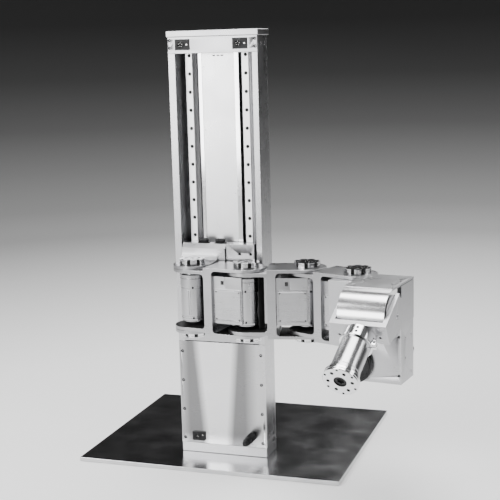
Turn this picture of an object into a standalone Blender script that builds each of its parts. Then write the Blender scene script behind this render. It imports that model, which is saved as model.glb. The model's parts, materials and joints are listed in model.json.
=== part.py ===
"""Column-mounted robot arm: a lift carriage, three folding links, a pitch wrist and a planetary tool drive.

Sizes are in millimetres and become metres where a mesh is made. The origin is the centre of the base
plate's underside, +Z is up, and -Y is the side that the arm works on.
"""
import math

import bmesh
import bpy
from mathutils import Matrix, Vector
from mathutils.geometry import tessellate_polygon

MM = 0.001
GAP = 0.3  # clearance between pieces that touch
LONG = 200.0  # a cutter's overlength

# Base and column
BASE_X, BASE_Y, BASE_T = 605.0, 499.0, 9.4
COLUMN_X, COLUMN_Y = 11.4, -149.8  # middle of the column's front face on the base
COLUMN_W, COLUMN_D = 203.2, 69.9
FOOT_TOP = 22.0
COVER_TOP = 260.0
COVER_T = 4.0
CAP_BOTTOM, CAP_TOP, LID_TOP = 898.0, 933.0, 946.0
WALL_T_LEFT, WALL_T_RIGHT = 15.6, 12.6
BACK_T = 5.0
RAIL_X, RAIL_W, RAIL_FRONT = 64.7, 20.0, 30.0
RAIL_BASE_W, RAIL_BASE_FRONT = 25.0, 46.0
PANEL_HALF_W, PANEL_FRONT, PANEL_T = 45.0, 33.0, 2.0
SCREW_Y, SCREW_R, SCREW_CORE_R = 43.0, 6.0, 4.0
LOWER_BEARING = (262.0, 286.0)
LID_OVERHANG = 3.0

# Carriage and shoulder
CARRIAGE_X = (-85.2, 83.2)
CARRIAGE_Z = (290.0, 484.0)
CARRIAGE_BACK = 26.0
SHOULDER_X = (-83.6, -0.4)
BLOCK_RIGHT, BLOCK_FRONT, BLOCK_BACK = 17.0, -6.0, 13.7

# Arm joints in the column's frame, and the links' headings
AXES = ((-42.0, -50.0), (86.5, -66.0), (213.3, -39.5), (333.7, -87.2))
LINK_LENGTH = 129.5
HEADINGS = (-7.1, 11.8, -21.6)
HALF_W = 41.6  # half of a link's width and the radius of its ends
ARM_BOTTOM, ARM_TOP = 300.0, 448.5
ARM_SLAB = (270.0, 500.0)  # a cutter taller than the arm
OUTER_T, INNER_T, PLATE_GAP = 6.7, 7.4, 0.6
WEB = (46.5, 65.5)
WINDOW_R = 8.0
HUB_R, HUB_ROOT_R, HUB_H, STUB_R = 28.0, 22.8, 11.5, 12.7
BORE_R = 13.0
HUB_SLOTS = 8

# Link drives: a gearmotor on the joint axis and its electronics box
DRIVE_R, DRIVE_RING_R = 27.2, 28.0
DRIVE_BOTTOM, DRIVE_TOP = 322.0, 431.0
DRIVE_RING_Z = 402.0
BOX_Z = (328.0, 430.0)
BOX_HALF_D, BOX_END = 33.0, -3.0
COVER_PLATE_T, COVER_PLATE_Z = 2.0, (335.0, 401.0)

# Wrist, in a frame on the fourth axis: x across, -y forward
WRIST_HEADING = -7.8
WRIST_MID = 80.0
WRIST_X = (28.0, 126.0)
WRIST_Y = (-99.0, -20.0)
WRIST_TOP = (448.9, 452.9)
WRIST_WEB = (-57.0, -48.0)
SIDE_PLATE_T = 8.5
HOUSING_X, HOUSING_Z = (8.0, 126.0), (252.0, 370.7)
HOUSING_BACK, HOUSING_STEP = -24.0, (62.0, -57.5)
MOTOR_CAP_X, MOTOR_CAP_Z, MOTOR_CAP_R, MOTOR_CAP_T = 31.0, 287.0, 37.5, 12.0
PITCH_Y, PITCH_Z = -149.0, 401.5
COVER_R, COVER_SHEET_T = 50.0, 2.0
LOBE_R = 40.0
PITCH_DRIVE_R = 37.0

# Pitch unit, in a frame on the pitch axis: +z points back up the tool's axis
TOOL_DIP = 31.0  # the tool's angle below the horizontal
ARM_IN, ARM_OUT = 47.5, 56.0
ARM_FRONT, ARM_BACK = -29.0, 15.0
ARM_ROUND_R, ARM_ROUND_END = 34.0, 72.0
BAR = (-60.0, -49.0)
PIN_R = 12.0
COLLAR = (-86.0, -60.3)
COLLAR_R, COLLAR_BORE = 32.5, 28.6
TUBE = (-163.0, -70.0)
TUBE_R, TUBE_BORE = 28.3, 25.5
FLANGE = (-178.0, -167.0)
FLANGE_R, FLANGE_BORE = 34.5, 12.0
BOLT_CIRCLES = ((23.5, 3.3, 0.0), (30.3, 2.2, 30.0))

# Planetary stage
MODULE = 0.85
SUN_TEETH, PLANET_TEETH, RING_TEETH = 18, 15, 48
PLANETS = 3
GEAR_Z = (-135.0, -123.0)
CARRIER_R = MODULE * (SUN_TEETH + PLANET_TEETH) / 2
PRESSURE = math.radians(20.0)
BACKLASH = 0.16


# ---------------------------------------------------------------- materials

def material(name, colour, roughness, metallic):
    """A Principled material with one colour."""
    mat = bpy.data.materials.new(name)
    mat.use_nodes = True
    shader = mat.node_tree.nodes["Principled BSDF"]
    shader.inputs["Base Color"].default_value = (*colour, 1.0)
    shader.inputs["Roughness"].default_value = roughness
    shader.inputs["Metallic"].default_value = metallic
    return mat


# ---------------------------------------------------------------- outlines

def arc(cx, cy, r, start, end, steps):
    """Points along an arc, both ends included; the angles are in degrees."""
    return [
        (cx + r * math.cos(math.radians(start + (end - start) * i / steps)),
         cy + r * math.sin(math.radians(start + (end - start) * i / steps)))
        for i in range(steps + 1)
    ]


def circle(cx, cy, r, steps, turn=0.0):
    """Points round a circle, the first at the angle turn."""
    return arc(cx, cy, r, turn, turn + 360.0, steps)[:-1]


def rectangle(x0, x1, y0, y1):
    return [(x0, y0), (x1, y0), (x1, y1), (x0, y1)]


def capsule(length, r, steps):
    """A link's plan: a round end at 0 and another at length."""
    return arc(0, 0, r, 90, 270, steps) + arc(length, 0, r, -90, 90, steps)


def castellated(r, root, slots, slot_share):
    """A round nut's outline with square slots in its rim."""
    points = []
    pitch = 360.0 / slots
    half = pitch * slot_share / 2
    for i in range(slots):
        at = i * pitch
        points += arc(0, 0, root, at - half, at + half, 1)
        points += arc(0, 0, r, at + half, at + pitch - half, 2)
    return points


def involute(angle):
    return math.tan(angle) - angle


def gear_outline(teeth, tip, root, turn, clearance):
    """A gear's outline with involute flanks, one tooth centred on the angle turn (degrees)."""
    pitch_r = MODULE * teeth / 2
    base_r = pitch_r * math.cos(PRESSURE)
    low = max(root, base_r)
    half_pitch = math.pi / (2 * teeth) - clearance / (2 * pitch_r)
    points = []
    for tooth in range(teeth):
        middle = math.radians(turn) + 2 * math.pi * tooth / teeth
        flank = []
        for radius in (low, pitch_r, tip):
            spread = half_pitch + involute(PRESSURE) - involute(math.acos(min(1.0, base_r / radius)))
            flank.append((radius, spread))
        rim = [(root, flank[0][1] * 1.12)] + flank
        for radius, spread in rim:
            points.append((radius * math.cos(middle - spread), radius * math.sin(middle - spread)))
        for radius, spread in reversed(rim):
            points.append((radius * math.cos(middle + spread), radius * math.sin(middle + spread)))
    return points


# ---------------------------------------------------------------- solids

def to_mesh(name, bm):
    bmesh.ops.recalc_face_normals(bm, faces=bm.faces)
    mesh = bpy.data.meshes.new(name)
    bm.to_mesh(mesh)
    bm.free()
    return mesh


def prism(outline, low, high, holes=(), axis="Z"):
    """An outline extruded along an axis: (x, y) for Z, (x, z) for Y and (y, z) for X."""
    order = {"Z": (0, 1, 2), "Y": (0, 2, 1), "X": (2, 0, 1)}[axis]
    loops = [list(outline)] + [list(hole) for hole in holes]
    bm = bmesh.new()
    levels = []
    for level in (low, high):
        corners = [[[(a, b, level)[i] for i in order] for a, b in loop] for loop in loops]
        levels.append([[bm.verts.new(Vector(corner) * MM) for corner in loop] for loop in corners])
    for lower, upper in zip(*levels):
        for i in range(len(lower)):
            j = (i + 1) % len(lower)
            bm.faces.new((lower[i], lower[j], upper[j], upper[i]))
    triangles = tessellate_polygon([[Vector((a, b, 0)) for a, b in loop] for loop in loops])
    for level in levels:
        flat = [vertex for loop in level for vertex in loop]
        for triangle in triangles:
            bm.faces.new([flat[i] for i in triangle])
    return to_mesh("prism", bm)


def box(x0, x1, y0, y1, z0, z1):
    return prism(rectangle(x0, x1, y0, y1), z0, z1)


def turned(profile, steps):
    """A profile of (radius, z) points turned about Z; a radius of 0 closes it on the axis."""
    bm = bmesh.new()
    rings = []
    for radius, z in profile:
        if radius == 0:
            rings.append([bm.verts.new((0, 0, z * MM))])
        else:
            rings.append([bm.verts.new((x * MM, y * MM, z * MM)) for x, y in circle(0, 0, radius, steps)])
    pairs = list(zip(rings, rings[1:]))
    if profile[0][0] and profile[-1][0]:
        pairs.append((rings[-1], rings[0]))
    for lower, upper in pairs:
        for i in range(steps):
            j = (i + 1) % steps
            a, b = lower[i % len(lower)], lower[j % len(lower)]
            c, d = upper[j % len(upper)], upper[i % len(upper)]
            bm.faces.new(list(dict.fromkeys((a, b, c, d))))
    return to_mesh("turned", bm)


def rounded_box(x0, x1, y0, y1, z0, z1, width):
    """A box with all of its edges chamfered."""
    bm = bmesh.new()
    bm.from_mesh(box(x0, x1, y0, y1, z0, z1))
    bmesh.ops.dissolve_limit(bm, angle_limit=0.01, verts=bm.verts, edges=bm.edges)
    bmesh.ops.bevel(bm, geom=bm.edges[:], offset=width * MM, segments=1, affect="EDGES", clamp_overlap=True)
    return to_mesh("rounded_box", bm)


def combine(mesh, other, operation):
    """One mesh joined with, cut by or intersected with another."""
    target = bpy.data.objects.new("target", mesh)
    tool = bpy.data.objects.new("tool", other)
    for obj in (target, tool):
        bpy.context.scene.collection.objects.link(obj)
    modifier = target.modifiers.new("Boolean", "BOOLEAN")
    modifier.operation = operation
    modifier.object = tool
    modifier.solver = "EXACT"
    bpy.context.view_layer.update()
    result = bpy.data.meshes.new_from_object(target.evaluated_get(bpy.context.evaluated_depsgraph_get()))
    for obj in (target, tool):
        bpy.data.objects.remove(obj)
    return result


def cut(mesh, *cutters):
    for cutter in cutters:
        mesh = combine(mesh, cutter, "DIFFERENCE")
    return mesh


def join(mesh, *others):
    for other in others:
        mesh = combine(mesh, other, "UNION")
    return mesh


def moved(mesh, x=0.0, y=0.0, z=0.0, turn=None):
    """The mesh moved, after a quarter turn onto another axis if turn is 'X' or 'Y'."""
    turns = {"X": Matrix.Rotation(math.radians(90), 4, "Y"), "Y": Matrix.Rotation(math.radians(-90), 4, "X")}
    if turn:
        mesh.transform(turns[turn])
    mesh.transform(Matrix.Translation(Vector((x, y, z)) * MM))
    return mesh


def frame(name, parent, x=0.0, y=0.0, z=0.0, turn_z=0.0, turn_x=0.0):
    """An empty that a body's pieces hang on."""
    empty = bpy.data.objects.new(name, None)
    empty.location = Vector((x, y, z)) * MM
    empty.rotation_euler = (math.radians(turn_x), 0, math.radians(turn_z))
    empty.parent = parent
    bpy.context.scene.collection.objects.link(empty)
    return empty


def place(name, mesh, mat, parent, location=(0.0, 0.0, 0.0)):
    """A named piece on its body's frame."""
    obj = bpy.data.objects.new(name, mesh)
    obj.location = Vector(location) * MM
    obj.parent = parent
    mesh.materials.clear()
    mesh.materials.append(mat)
    mesh.shade_smooth()
    mesh.set_sharp_from_angle(angle=math.radians(30))
    bpy.context.scene.collection.objects.link(obj)
    return obj


# ---------------------------------------------------------------- column

def wall_outline(back):
    """A side wall's (y, z) outline, let in for the front cover and for the cap."""
    return [
        (COVER_T + GAP, FOOT_TOP + GAP), (back, FOOT_TOP + GAP), (back, CAP_TOP - GAP),
        (8.0, CAP_TOP - GAP), (8.0, CAP_BOTTOM - GAP), (0.0, CAP_BOTTOM - GAP),
        (0.0, COVER_TOP + GAP), (COVER_T + GAP, COVER_TOP + GAP),
    ]


def build_column(parent, mats):
    half = COLUMN_W / 2
    inner = (-half + WALL_T_LEFT, half - WALL_T_RIGHT)
    back = COLUMN_D - BACK_T - GAP
    place("foot_block", rounded_box(-half, half, 0, COLUMN_D, GAP, FOOT_TOP, 0.8), mats["aluminium"], parent)
    place("left_wall", prism(wall_outline(back), -half, inner[0], axis="X"), mats["aluminium"], parent)
    place("right_wall", prism(wall_outline(back), inner[1], half, axis="X"), mats["aluminium"], parent)
    place("back_plate", box(-half, half, COLUMN_D - BACK_T, COLUMN_D, FOOT_TOP + GAP, CAP_TOP - GAP),
          mats["aluminium"], parent)
    place("front_cover", box(-half, half, 0, COVER_T, FOOT_TOP + GAP, COVER_TOP), mats["satin"], parent)
    bearing = box(inner[0] + GAP, inner[1] - GAP, 0, SCREW_Y + 18, *LOWER_BEARING)
    bore = moved(prism(circle(0, 0, SCREW_R + GAP, 16), -LONG, LONG), 0, SCREW_Y, LOWER_BEARING[0])
    place("lower_bearing_block", cut(bearing, bore), mats["aluminium"], parent)
    build_cap(parent, mats, inner)
    build_rails(parent, mats, back)
    panel = box(-PANEL_HALF_W, PANEL_HALF_W, PANEL_FRONT, PANEL_FRONT + PANEL_T,
                LOWER_BEARING[1] + GAP, CAP_BOTTOM - GAP)
    place("screw_panel", panel, mats["polished"], parent)
    motor = [(0, 40), (20, 40), (21, 42), (21, 215), (16, 216), (16, 232), (9, 232), (9, 258), (0, 258)]
    place("lift_motor", turned(motor, 24), mats["black"], parent, (0, SCREW_Y - 3, 0))


def build_cap(parent, mats, inner):
    """The cap block with its two socket recesses and the upper screw bearing, and the lid on it."""
    half = COLUMN_W / 2
    outline = [
        (-half, 0), (half, 0), (half, 8 - GAP), (inner[1] - GAP, 8 - GAP), (inner[1] - GAP, SCREW_Y + 18),
        (inner[0] + GAP, SCREW_Y + 18), (inner[0] + GAP, 8 - GAP), (-half, 8 - GAP),
    ]
    block = prism(outline, CAP_BOTTOM, CAP_TOP - GAP)
    bore = prism(circle(0, SCREW_Y, SCREW_R + GAP, 16), CAP_BOTTOM - 1, CAP_BOTTOM + 26)
    recesses = [box(x, x + 34, -1, 5, 905, 928) for x in (-85, 46)]
    place("cap_block", cut(block, bore, *recesses), mats["aluminium"], parent)
    lid = rounded_box(-half - LID_OVERHANG, half + LID_OVERHANG, -LID_OVERHANG, COLUMN_D + LID_OVERHANG,
                      CAP_TOP, LID_TOP, 1.0)
    place("cap_lid", lid, mats["aluminium"], parent)


def build_rails(parent, mats, back):
    """Each rail and the strip under it, as one stepped bar."""
    low, high = LOWER_BEARING[1] + GAP, CAP_BOTTOM - GAP
    half, base = RAIL_W / 2, RAIL_BASE_W / 2
    waist = half - 2.5
    outline = [
        (-base, back - GAP), (-base, RAIL_BASE_FRONT), (-waist, RAIL_BASE_FRONT), (-waist, RAIL_FRONT + 7),
        (-half, RAIL_FRONT + 4), (-half, RAIL_FRONT + 1), (-half + 1, RAIL_FRONT),
    ]
    outline += [(-x, y) for x, y in reversed(outline)]
    for name, x in (("left_rail", -RAIL_X), ("right_rail", RAIL_X)):
        place(name, moved(prism(outline, low, high), x), mats["steel"], parent)


def build_screw(parent, mats):
    low, high = LOWER_BEARING[0] + 1, CAP_BOTTOM + 25
    start, end = LOWER_BEARING[1] + 2, CAP_BOTTOM - 2
    profile = [
        (0, low), (SCREW_CORE_R, low), (SCREW_CORE_R, start), (SCREW_R, start + 2), (SCREW_R, end - 2),
        (SCREW_CORE_R, end), (SCREW_CORE_R, high), (0, high),
    ]
    place("lead_screw", turned(profile, 16), mats["steel"], parent)


def build_sockets(parent, mats):
    """The power inlet and the signal plug at the column's foot."""
    inlet = join(rounded_box(-75, -45, -3, -GAP, 29, 49, 0.8), box(-71, -49, -4.5, -2, 32, 46))
    place("power_inlet", inlet, mats["black"], parent)
    plug = turned([(0, 0), (10, 0), (10, 12), (8.5, 14), (8.5, 46), (7, 48), (7, 56), (0, 56)], 20)
    plug.transform(Matrix.Rotation(math.radians(90), 4, "X"))
    place("signal_plug", moved(plug, 68, -GAP, 48), mats["black"], parent)


# ---------------------------------------------------------------- carriage

def build_carriage(parent, mats):
    left, right = CARRIAGE_X
    low, high = CARRIAGE_Z
    split, step = BLOCK_RIGHT + GAP, BLOCK_BACK + GAP
    outline = [(split, step), (split, 0), (right, 0), (right, CARRIAGE_BACK)]
    outline += [(left, CARRIAGE_BACK), (left, step)]
    place("carriage_plate", prism(outline, low, high), mats["aluminium"], parent)
    build_shoulder(parent, mats)
    groove = RAIL_W / 2 + 0.5
    for name, x in (("left_slider", -RAIL_X), ("right_slider", RAIL_X)):
        shoe = rectangle(-17, 17, CARRIAGE_BACK + GAP, RAIL_BASE_FRONT - 1.5)
        shoe = shoe[:2] + [(17, shoe[2][1]), (groove, shoe[2][1]), (groove, RAIL_FRONT - 0.5),
                           (-groove, RAIL_FRONT - 0.5), (-groove, shoe[2][1]), (-17, shoe[2][1])]
        place(name, moved(prism(shoe, low + 12, high - 12), x), mats["steel"], parent)
    build_nut(parent, mats)


def build_nut(parent, mats):
    """The drive nut behind the panel, held by two legs that pass its edges."""
    leg_in, leg_out = PANEL_HALF_W + 0.8, PANEL_HALF_W + 2.4
    behind = PANEL_FRONT + PANEL_T + 0.8
    outline = [
        (-leg_out, CARRIAGE_BACK + GAP), (-leg_in, CARRIAGE_BACK + GAP), (-leg_in, behind), (leg_in, behind),
        (leg_in, CARRIAGE_BACK + GAP), (leg_out, CARRIAGE_BACK + GAP), (leg_out, 52), (-leg_out, 52),
    ]
    nut = prism(outline, 360, 384, holes=[circle(0, SCREW_Y, SCREW_R + GAP, 16)])
    place("drive_nut", nut, mats["bronze"], parent)


def build_shoulder(parent, mats):
    """The bracket on the carriage's left that holds the first axis between two plates."""
    left, right = SHOULDER_X
    end = AXES[0][1]
    radius = 14.0
    top_in, bottom_in = ARM_TOP - OUTER_T, ARM_BOTTOM + OUTER_T
    side = [(BLOCK_BACK, CARRIAGE_Z[1]), (4, CARRIAGE_Z[1]), (BLOCK_FRONT, CARRIAGE_Z[1] - 10)]
    side += arc(BLOCK_FRONT - radius, ARM_TOP + radius, radius, 0, -90, 5)
    side += [(end - LONG, ARM_TOP), (end - LONG, top_in), (BLOCK_FRONT, top_in), (BLOCK_FRONT, bottom_in)]
    side += [(end - LONG, bottom_in), (end - LONG, ARM_BOTTOM), (BLOCK_BACK, ARM_BOTTOM)]
    plan = arc(AXES[0][0], end, HALF_W, 180, 360, 24)
    plan += [(right, BLOCK_FRONT), (BLOCK_RIGHT, BLOCK_FRONT), (BLOCK_RIGHT, LONG), (left, LONG)]
    body = combine(prism(side, left - 5, BLOCK_RIGHT + 5, axis="X"), prism(plan, *ARM_SLAB), "INTERSECT")
    bore = moved(prism(circle(0, 0, BORE_R, 24), *ARM_SLAB), *AXES[0])
    place("shoulder_bracket", cut(body, bore), mats["aluminium"], parent)


# ---------------------------------------------------------------- links

def link_side():
    """A link's (x, z) outline: inner plates at the left, the web, and outer plates at the right."""
    outer_low, inner_low = ARM_BOTTOM + OUTER_T, ARM_BOTTOM + OUTER_T + PLATE_GAP
    outer_high, inner_high = ARM_TOP - OUTER_T, ARM_TOP - OUTER_T - PLATE_GAP
    left, right = -LONG, LINK_LENGTH + LONG
    w0, w1 = WEB
    r = WINDOW_R
    side = [(left, inner_high), (w0, inner_high), (w0, ARM_TOP), (right, ARM_TOP), (right, outer_high)]
    side += arc(w1 + r, outer_high - r, r, 90, 180, 4)
    side += arc(w1 + r, outer_low + r, r, 180, 270, 4)
    side += [(right, outer_low), (right, ARM_BOTTOM), (w0, ARM_BOTTOM), (w0, inner_low), (left, inner_low)]
    side += [(left, inner_low + INNER_T)]
    side += arc(w0 - r, inner_low + INNER_T + r, r, -90, 0, 4)
    side += arc(w0 - r, inner_high - INNER_T - r, r, 0, 90, 4)
    side += [(left, inner_high - INNER_T)]
    return side


def build_link(number, parent, mats):
    side = prism(link_side(), -60, 60, axis="Y")
    body = combine(side, prism(capsule(LINK_LENGTH, HALF_W, 20), *ARM_SLAB), "INTERSECT")
    bore = prism(circle(LINK_LENGTH, 0, BORE_R, 20), *ARM_SLAB)
    place(f"link_{number}", cut(body, bore), mats["aluminium"], parent)


def build_hubs(number, parent, mats):
    """The castellated nuts above and below an axis, each with a stub through the outer plate."""
    rim = castellated(HUB_R, HUB_ROOT_R, HUB_SLOTS, 0.36)
    stub = OUTER_T + PLATE_GAP - GAP
    upper = prism(rim, ARM_TOP + GAP, ARM_TOP + HUB_H)
    upper = join(upper, prism(circle(0, 0, STUB_R, 16), ARM_TOP - stub, ARM_TOP + 5))
    place(f"hub_{number}_top", upper, mats["polished"], parent)
    lower = prism(rim, ARM_BOTTOM - HUB_H, ARM_BOTTOM - GAP)
    lower = join(lower, prism(circle(0, 0, STUB_R, 16), ARM_BOTTOM - 5, ARM_BOTTOM + stub))
    place(f"hub_{number}_bottom", lower, mats["polished"], parent)


def drive_mesh():
    """A gearmotor: the motor's barrel, its end cap, and the wider gear ring on top."""
    low, high, ring = DRIVE_BOTTOM, DRIVE_TOP, DRIVE_RING_Z
    profile = [
        (0, low), (22, low), (22, low + 2), (DRIVE_R, low + 4), (DRIVE_R, ring - 1),
        (DRIVE_RING_R, ring), (DRIVE_RING_R, high - 4), (22, high - 3), (22, high), (0, high),
    ]
    return turned(profile, 24)


def build_drive(number, parent, mats):
    """The drive at the far end of a link, with its box against the web."""
    place(f"drive_{number}", drive_mesh(), mats["satin"], parent, (LINK_LENGTH, 0, 0))
    left, right = WEB[1] + GAP, LINK_LENGTH - BOX_END
    reach = DRIVE_RING_R + 2 * GAP
    sweep = math.degrees(math.acos(-BOX_END / reach))
    outline = [(left, -BOX_HALF_D), (right, -BOX_HALF_D)]
    outline += arc(LINK_LENGTH, 0, reach, 360 - sweep, sweep, 12)
    outline += [(right, BOX_HALF_D), (left, BOX_HALF_D)]
    place(f"drive_{number}_box", prism(outline, *BOX_Z), mats["satin"], parent)
    front = -BOX_HALF_D - GAP
    plate = rounded_box(left + 4, right - 2, front - COVER_PLATE_T, front, *COVER_PLATE_Z, 0.5)
    place(f"drive_{number}_cover", plate, mats["satin"], parent)


# ---------------------------------------------------------------- wrist

def side_plate_outline(back):
    """A wrist side plate's (y, z) outline, with a round lobe that carries the pitch axis."""
    front, top, low = WRIST_Y[0], WRIST_TOP[0] - GAP, HOUSING_Z[1] + GAP
    outline = [(back, low), (back, top), (front, top), (front, PITCH_Z + 24)]
    outline += arc(PITCH_Y, PITCH_Z, LOBE_R, 50, 262, 14)
    return outline + [(front, low + 4), (front, low)]


def build_wrist(parent, mats):
    inner_low, inner_high = ARM_BOTTOM + OUTER_T + PLATE_GAP, ARM_TOP - OUTER_T - PLATE_GAP
    web_front, web_back = WRIST_WEB
    side = [(LONG, inner_low), (LONG, inner_low + INNER_T)]
    side += arc(web_back + WINDOW_R, inner_low + INNER_T + WINDOW_R, WINDOW_R, 270, 180, 4)
    side += arc(web_back + WINDOW_R, inner_high - INNER_T - WINDOW_R, WINDOW_R, 180, 90, 4)
    side += [(LONG, inner_high - INNER_T), (LONG, inner_high)]
    side += [(web_front, inner_high), (web_front, inner_low)]
    plan = arc(0, 0, HALF_W, 0, 180, 24) + [(-HALF_W, -LONG), (HALF_W, -LONG)]
    bracket = combine(prism(side, -60, 60, axis="X"), prism(plan, *ARM_SLAB), "INTERSECT")
    place("wrist_bracket", bracket, mats["aluminium"], parent)
    x0, x1 = WRIST_X
    top = box(x0, x1, PITCH_Y + GAP, WRIST_Y[1], *WRIST_TOP)
    place("wrist_top_plate", top, mats["aluminium"], parent)
    outer = ARM_IN - 0.5
    bore = circle(PITCH_Y, PITCH_Z, PIN_R + GAP, 20)
    for name, back, side in (("left", HOUSING_STEP[1], -1), ("right", HOUSING_BACK, 1)):
        low, high = sorted((WRIST_MID + side * outer, WRIST_MID + side * (outer - SIDE_PLATE_T)))
        plate = prism(side_plate_outline(back), low, high, holes=[bore], axis="X")
        place(f"wrist_{name}_plate", plate, mats["aluminium"], parent)
    hx0, hx1 = HOUSING_X
    plan = [(hx0, WRIST_Y[0]), (hx1, WRIST_Y[0]), (hx1, HOUSING_BACK), (HOUSING_STEP[0], HOUSING_BACK),
            HOUSING_STEP, (hx0, HOUSING_STEP[1])]
    place("wrist_housing", prism(plan, *HOUSING_Z), mats["aluminium"], parent)
    rim = MOTOR_CAP_R - 3.5
    cap = [(0, 0), (rim, 0), (rim, 3), (MOTOR_CAP_R, 3), (MOTOR_CAP_R, MOTOR_CAP_T), (0, MOTOR_CAP_T)]
    cap = moved(turned(cap, 28), MOTOR_CAP_X, WRIST_Y[0] - GAP - MOTOR_CAP_T, MOTOR_CAP_Z, turn="Y")
    place("wrist_motor_cap", cap, mats["black"], parent)
    build_pitch_cover(parent, mats, outer)


def build_pitch_cover(parent, mats, outer):
    """The rolled sheet over the pitch drive, and the drive on the pitch axis."""
    inside = COVER_R - COVER_SHEET_T
    outline = arc(PITCH_Y, PITCH_Z, COVER_R, 90, 180, 12) + [(PITCH_Y - COVER_R, PITCH_Z - 2)]
    outline += [(PITCH_Y - inside, PITCH_Z - 2)] + arc(PITCH_Y, PITCH_Z, inside, 180, 90, 12)
    sheet = prism(outline, WRIST_MID - outer, WRIST_MID + outer, axis="X")
    place("wrist_cover", sheet, mats["polished"], parent)
    half = outer - SIDE_PLATE_T - GAP
    drive = turned([(0, -half), (PITCH_DRIVE_R - 1, -half), (PITCH_DRIVE_R, -half + 1), (PITCH_DRIVE_R, 4),
                    (PITCH_DRIVE_R - 2, 5), (PITCH_DRIVE_R - 2, half), (0, half)], 28)
    place("pitch_drive", moved(drive, WRIST_MID, PITCH_Y, PITCH_Z, turn="X"), mats["satin"], parent)


# ---------------------------------------------------------------- pitch unit and tool

def build_yoke(parent, mats):
    """Two arms on the pitch axis and the bar that joins them."""
    bar_low, bar_high = BAR
    arm = [(ARM_BACK, bar_low)] + arc(0, 0, ARM_ROUND_R, -30, ARM_ROUND_END, 14)
    arm += [(ARM_FRONT, arm[-1][1]), (ARM_FRONT, bar_low)]
    yoke = None
    for side in (-1, 1):
        low, high = sorted((side * ARM_IN, side * ARM_OUT))
        plate = prism(arm, low, high, axis="X")
        pin_low, pin_high = sorted((side * (ARM_IN - SIDE_PLATE_T), side * (ARM_IN + 1)))
        pin = prism(circle(0, 0, PIN_R, 20), pin_low, pin_high, axis="X")
        plate = join(plate, pin)
        yoke = plate if yoke is None else join(yoke, plate)
    bar = box(-ARM_IN - 1, ARM_IN + 1, ARM_FRONT, ARM_BACK, bar_low, bar_high)
    place("pitch_yoke", join(yoke, bar), mats["aluminium"], parent)


def build_tool_housing(parent, mats):
    low, high = COLLAR
    collar = turned([(COLLAR_BORE, low), (COLLAR_R, low), (COLLAR_R, high), (COLLAR_BORE, high)], 32)
    ears = box(COLLAR_R - 3, COLLAR_R + 7, -7, 7, low + 1, low + 13)
    slit = box(COLLAR_BORE - 8, COLLAR_R + 10, -1, 1, low - 1, high + 1)
    place("clamp_collar", cut(join(collar, ears), slit), mats["polished"], parent)
    low, high = TUBE
    tube = [
        (TUBE_BORE, low), (TUBE_R + 2.0, low), (TUBE_R + 2.0, low + 7), (TUBE_R + 1, low + 8),
        (TUBE_R + 1, low + 14), (TUBE_R, low + 15), (TUBE_R, high), (TUBE_BORE, high),
    ]
    place("tool_tube", turned(tube, 32), mats["satin"], parent)
    motor_r, motor_low = TUBE_BORE - GAP, GEAR_Z[1] + 6
    motor = [(0, motor_low), (20, motor_low), (motor_r, motor_low + 2), (motor_r, high - 4), (0, high - 4)]
    place("tool_motor", turned(motor, 24), mats["black"], parent)


def build_gears(parents, mats):
    """Ring, sun, planets, and the carrier whose shaft turns the tool flange."""
    low, high = GEAR_Z
    ring_r = MODULE * RING_TEETH / 2
    teeth = gear_outline(RING_TEETH, ring_r + 1.25 * MODULE, ring_r - 0.9 * MODULE, 0, -BACKLASH)
    ring = prism(circle(0, 0, TUBE_BORE - GAP, 32), low, high, holes=[teeth])
    place("ring_gear", ring, mats["steel"], parents["pitch"])
    sun_r = MODULE * SUN_TEETH / 2
    sun = prism(gear_outline(SUN_TEETH, sun_r + 0.9 * MODULE, sun_r - 1.25 * MODULE, 0, BACKLASH), low, high)
    shaft = prism(circle(0, 0, 4, 16), high - 1, high + 5.5)
    place("sun_gear", join(sun, shaft), mats["steel"], parents["pitch"])
    planet_r = MODULE * PLANET_TEETH / 2
    rim = gear_outline(PLANET_TEETH, planet_r + 0.9 * MODULE, planet_r - 1.25 * MODULE, 0, BACKLASH)
    for number in range(PLANETS):
        planet = prism(rim, low, high, holes=[circle(0, 0, 2.3, 12)])
        place(f"planet_{number + 1}", planet, mats["steel"], parents[f"planet_{number + 1}"])


def build_flange(parent, mats):
    """The planet carrier, its pins, the output shaft and the tool flange, as one turned piece."""
    low, high = FLANGE
    gear_low = GEAR_Z[0]
    profile = [
        (0, low + 6), (FLANGE_BORE, low + 6), (FLANGE_BORE, low), (FLANGE_R - 1, low), (FLANGE_R, low + 1),
        (FLANGE_R, high), (19, high), (19, gear_low - 8), (24, gear_low - 8),
        (24, gear_low - 1), (0, gear_low - 1),
    ]
    body = turned(profile, 32)
    for number in range(PLANETS):
        x, y = planet_centre(number)
        body = join(body, moved(prism(circle(0, 0, 2.0, 12), gear_low - 3, GEAR_Z[1] + 1), x, y))
    for radius, hole, turn in BOLT_CIRCLES:
        for x, y in circle(0, 0, radius, 6, turn):
            body = cut(body, moved(prism(circle(0, 0, hole, 10), low - 2, low + 7), x, y))
    place("tool_flange", body, mats["polished"], parent)


def planet_centre(number):
    angle = 2 * math.pi * number / PLANETS
    return CARRIER_R * math.cos(angle), CARRIER_R * math.sin(angle)


# ---------------------------------------------------------------- assembly

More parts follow.
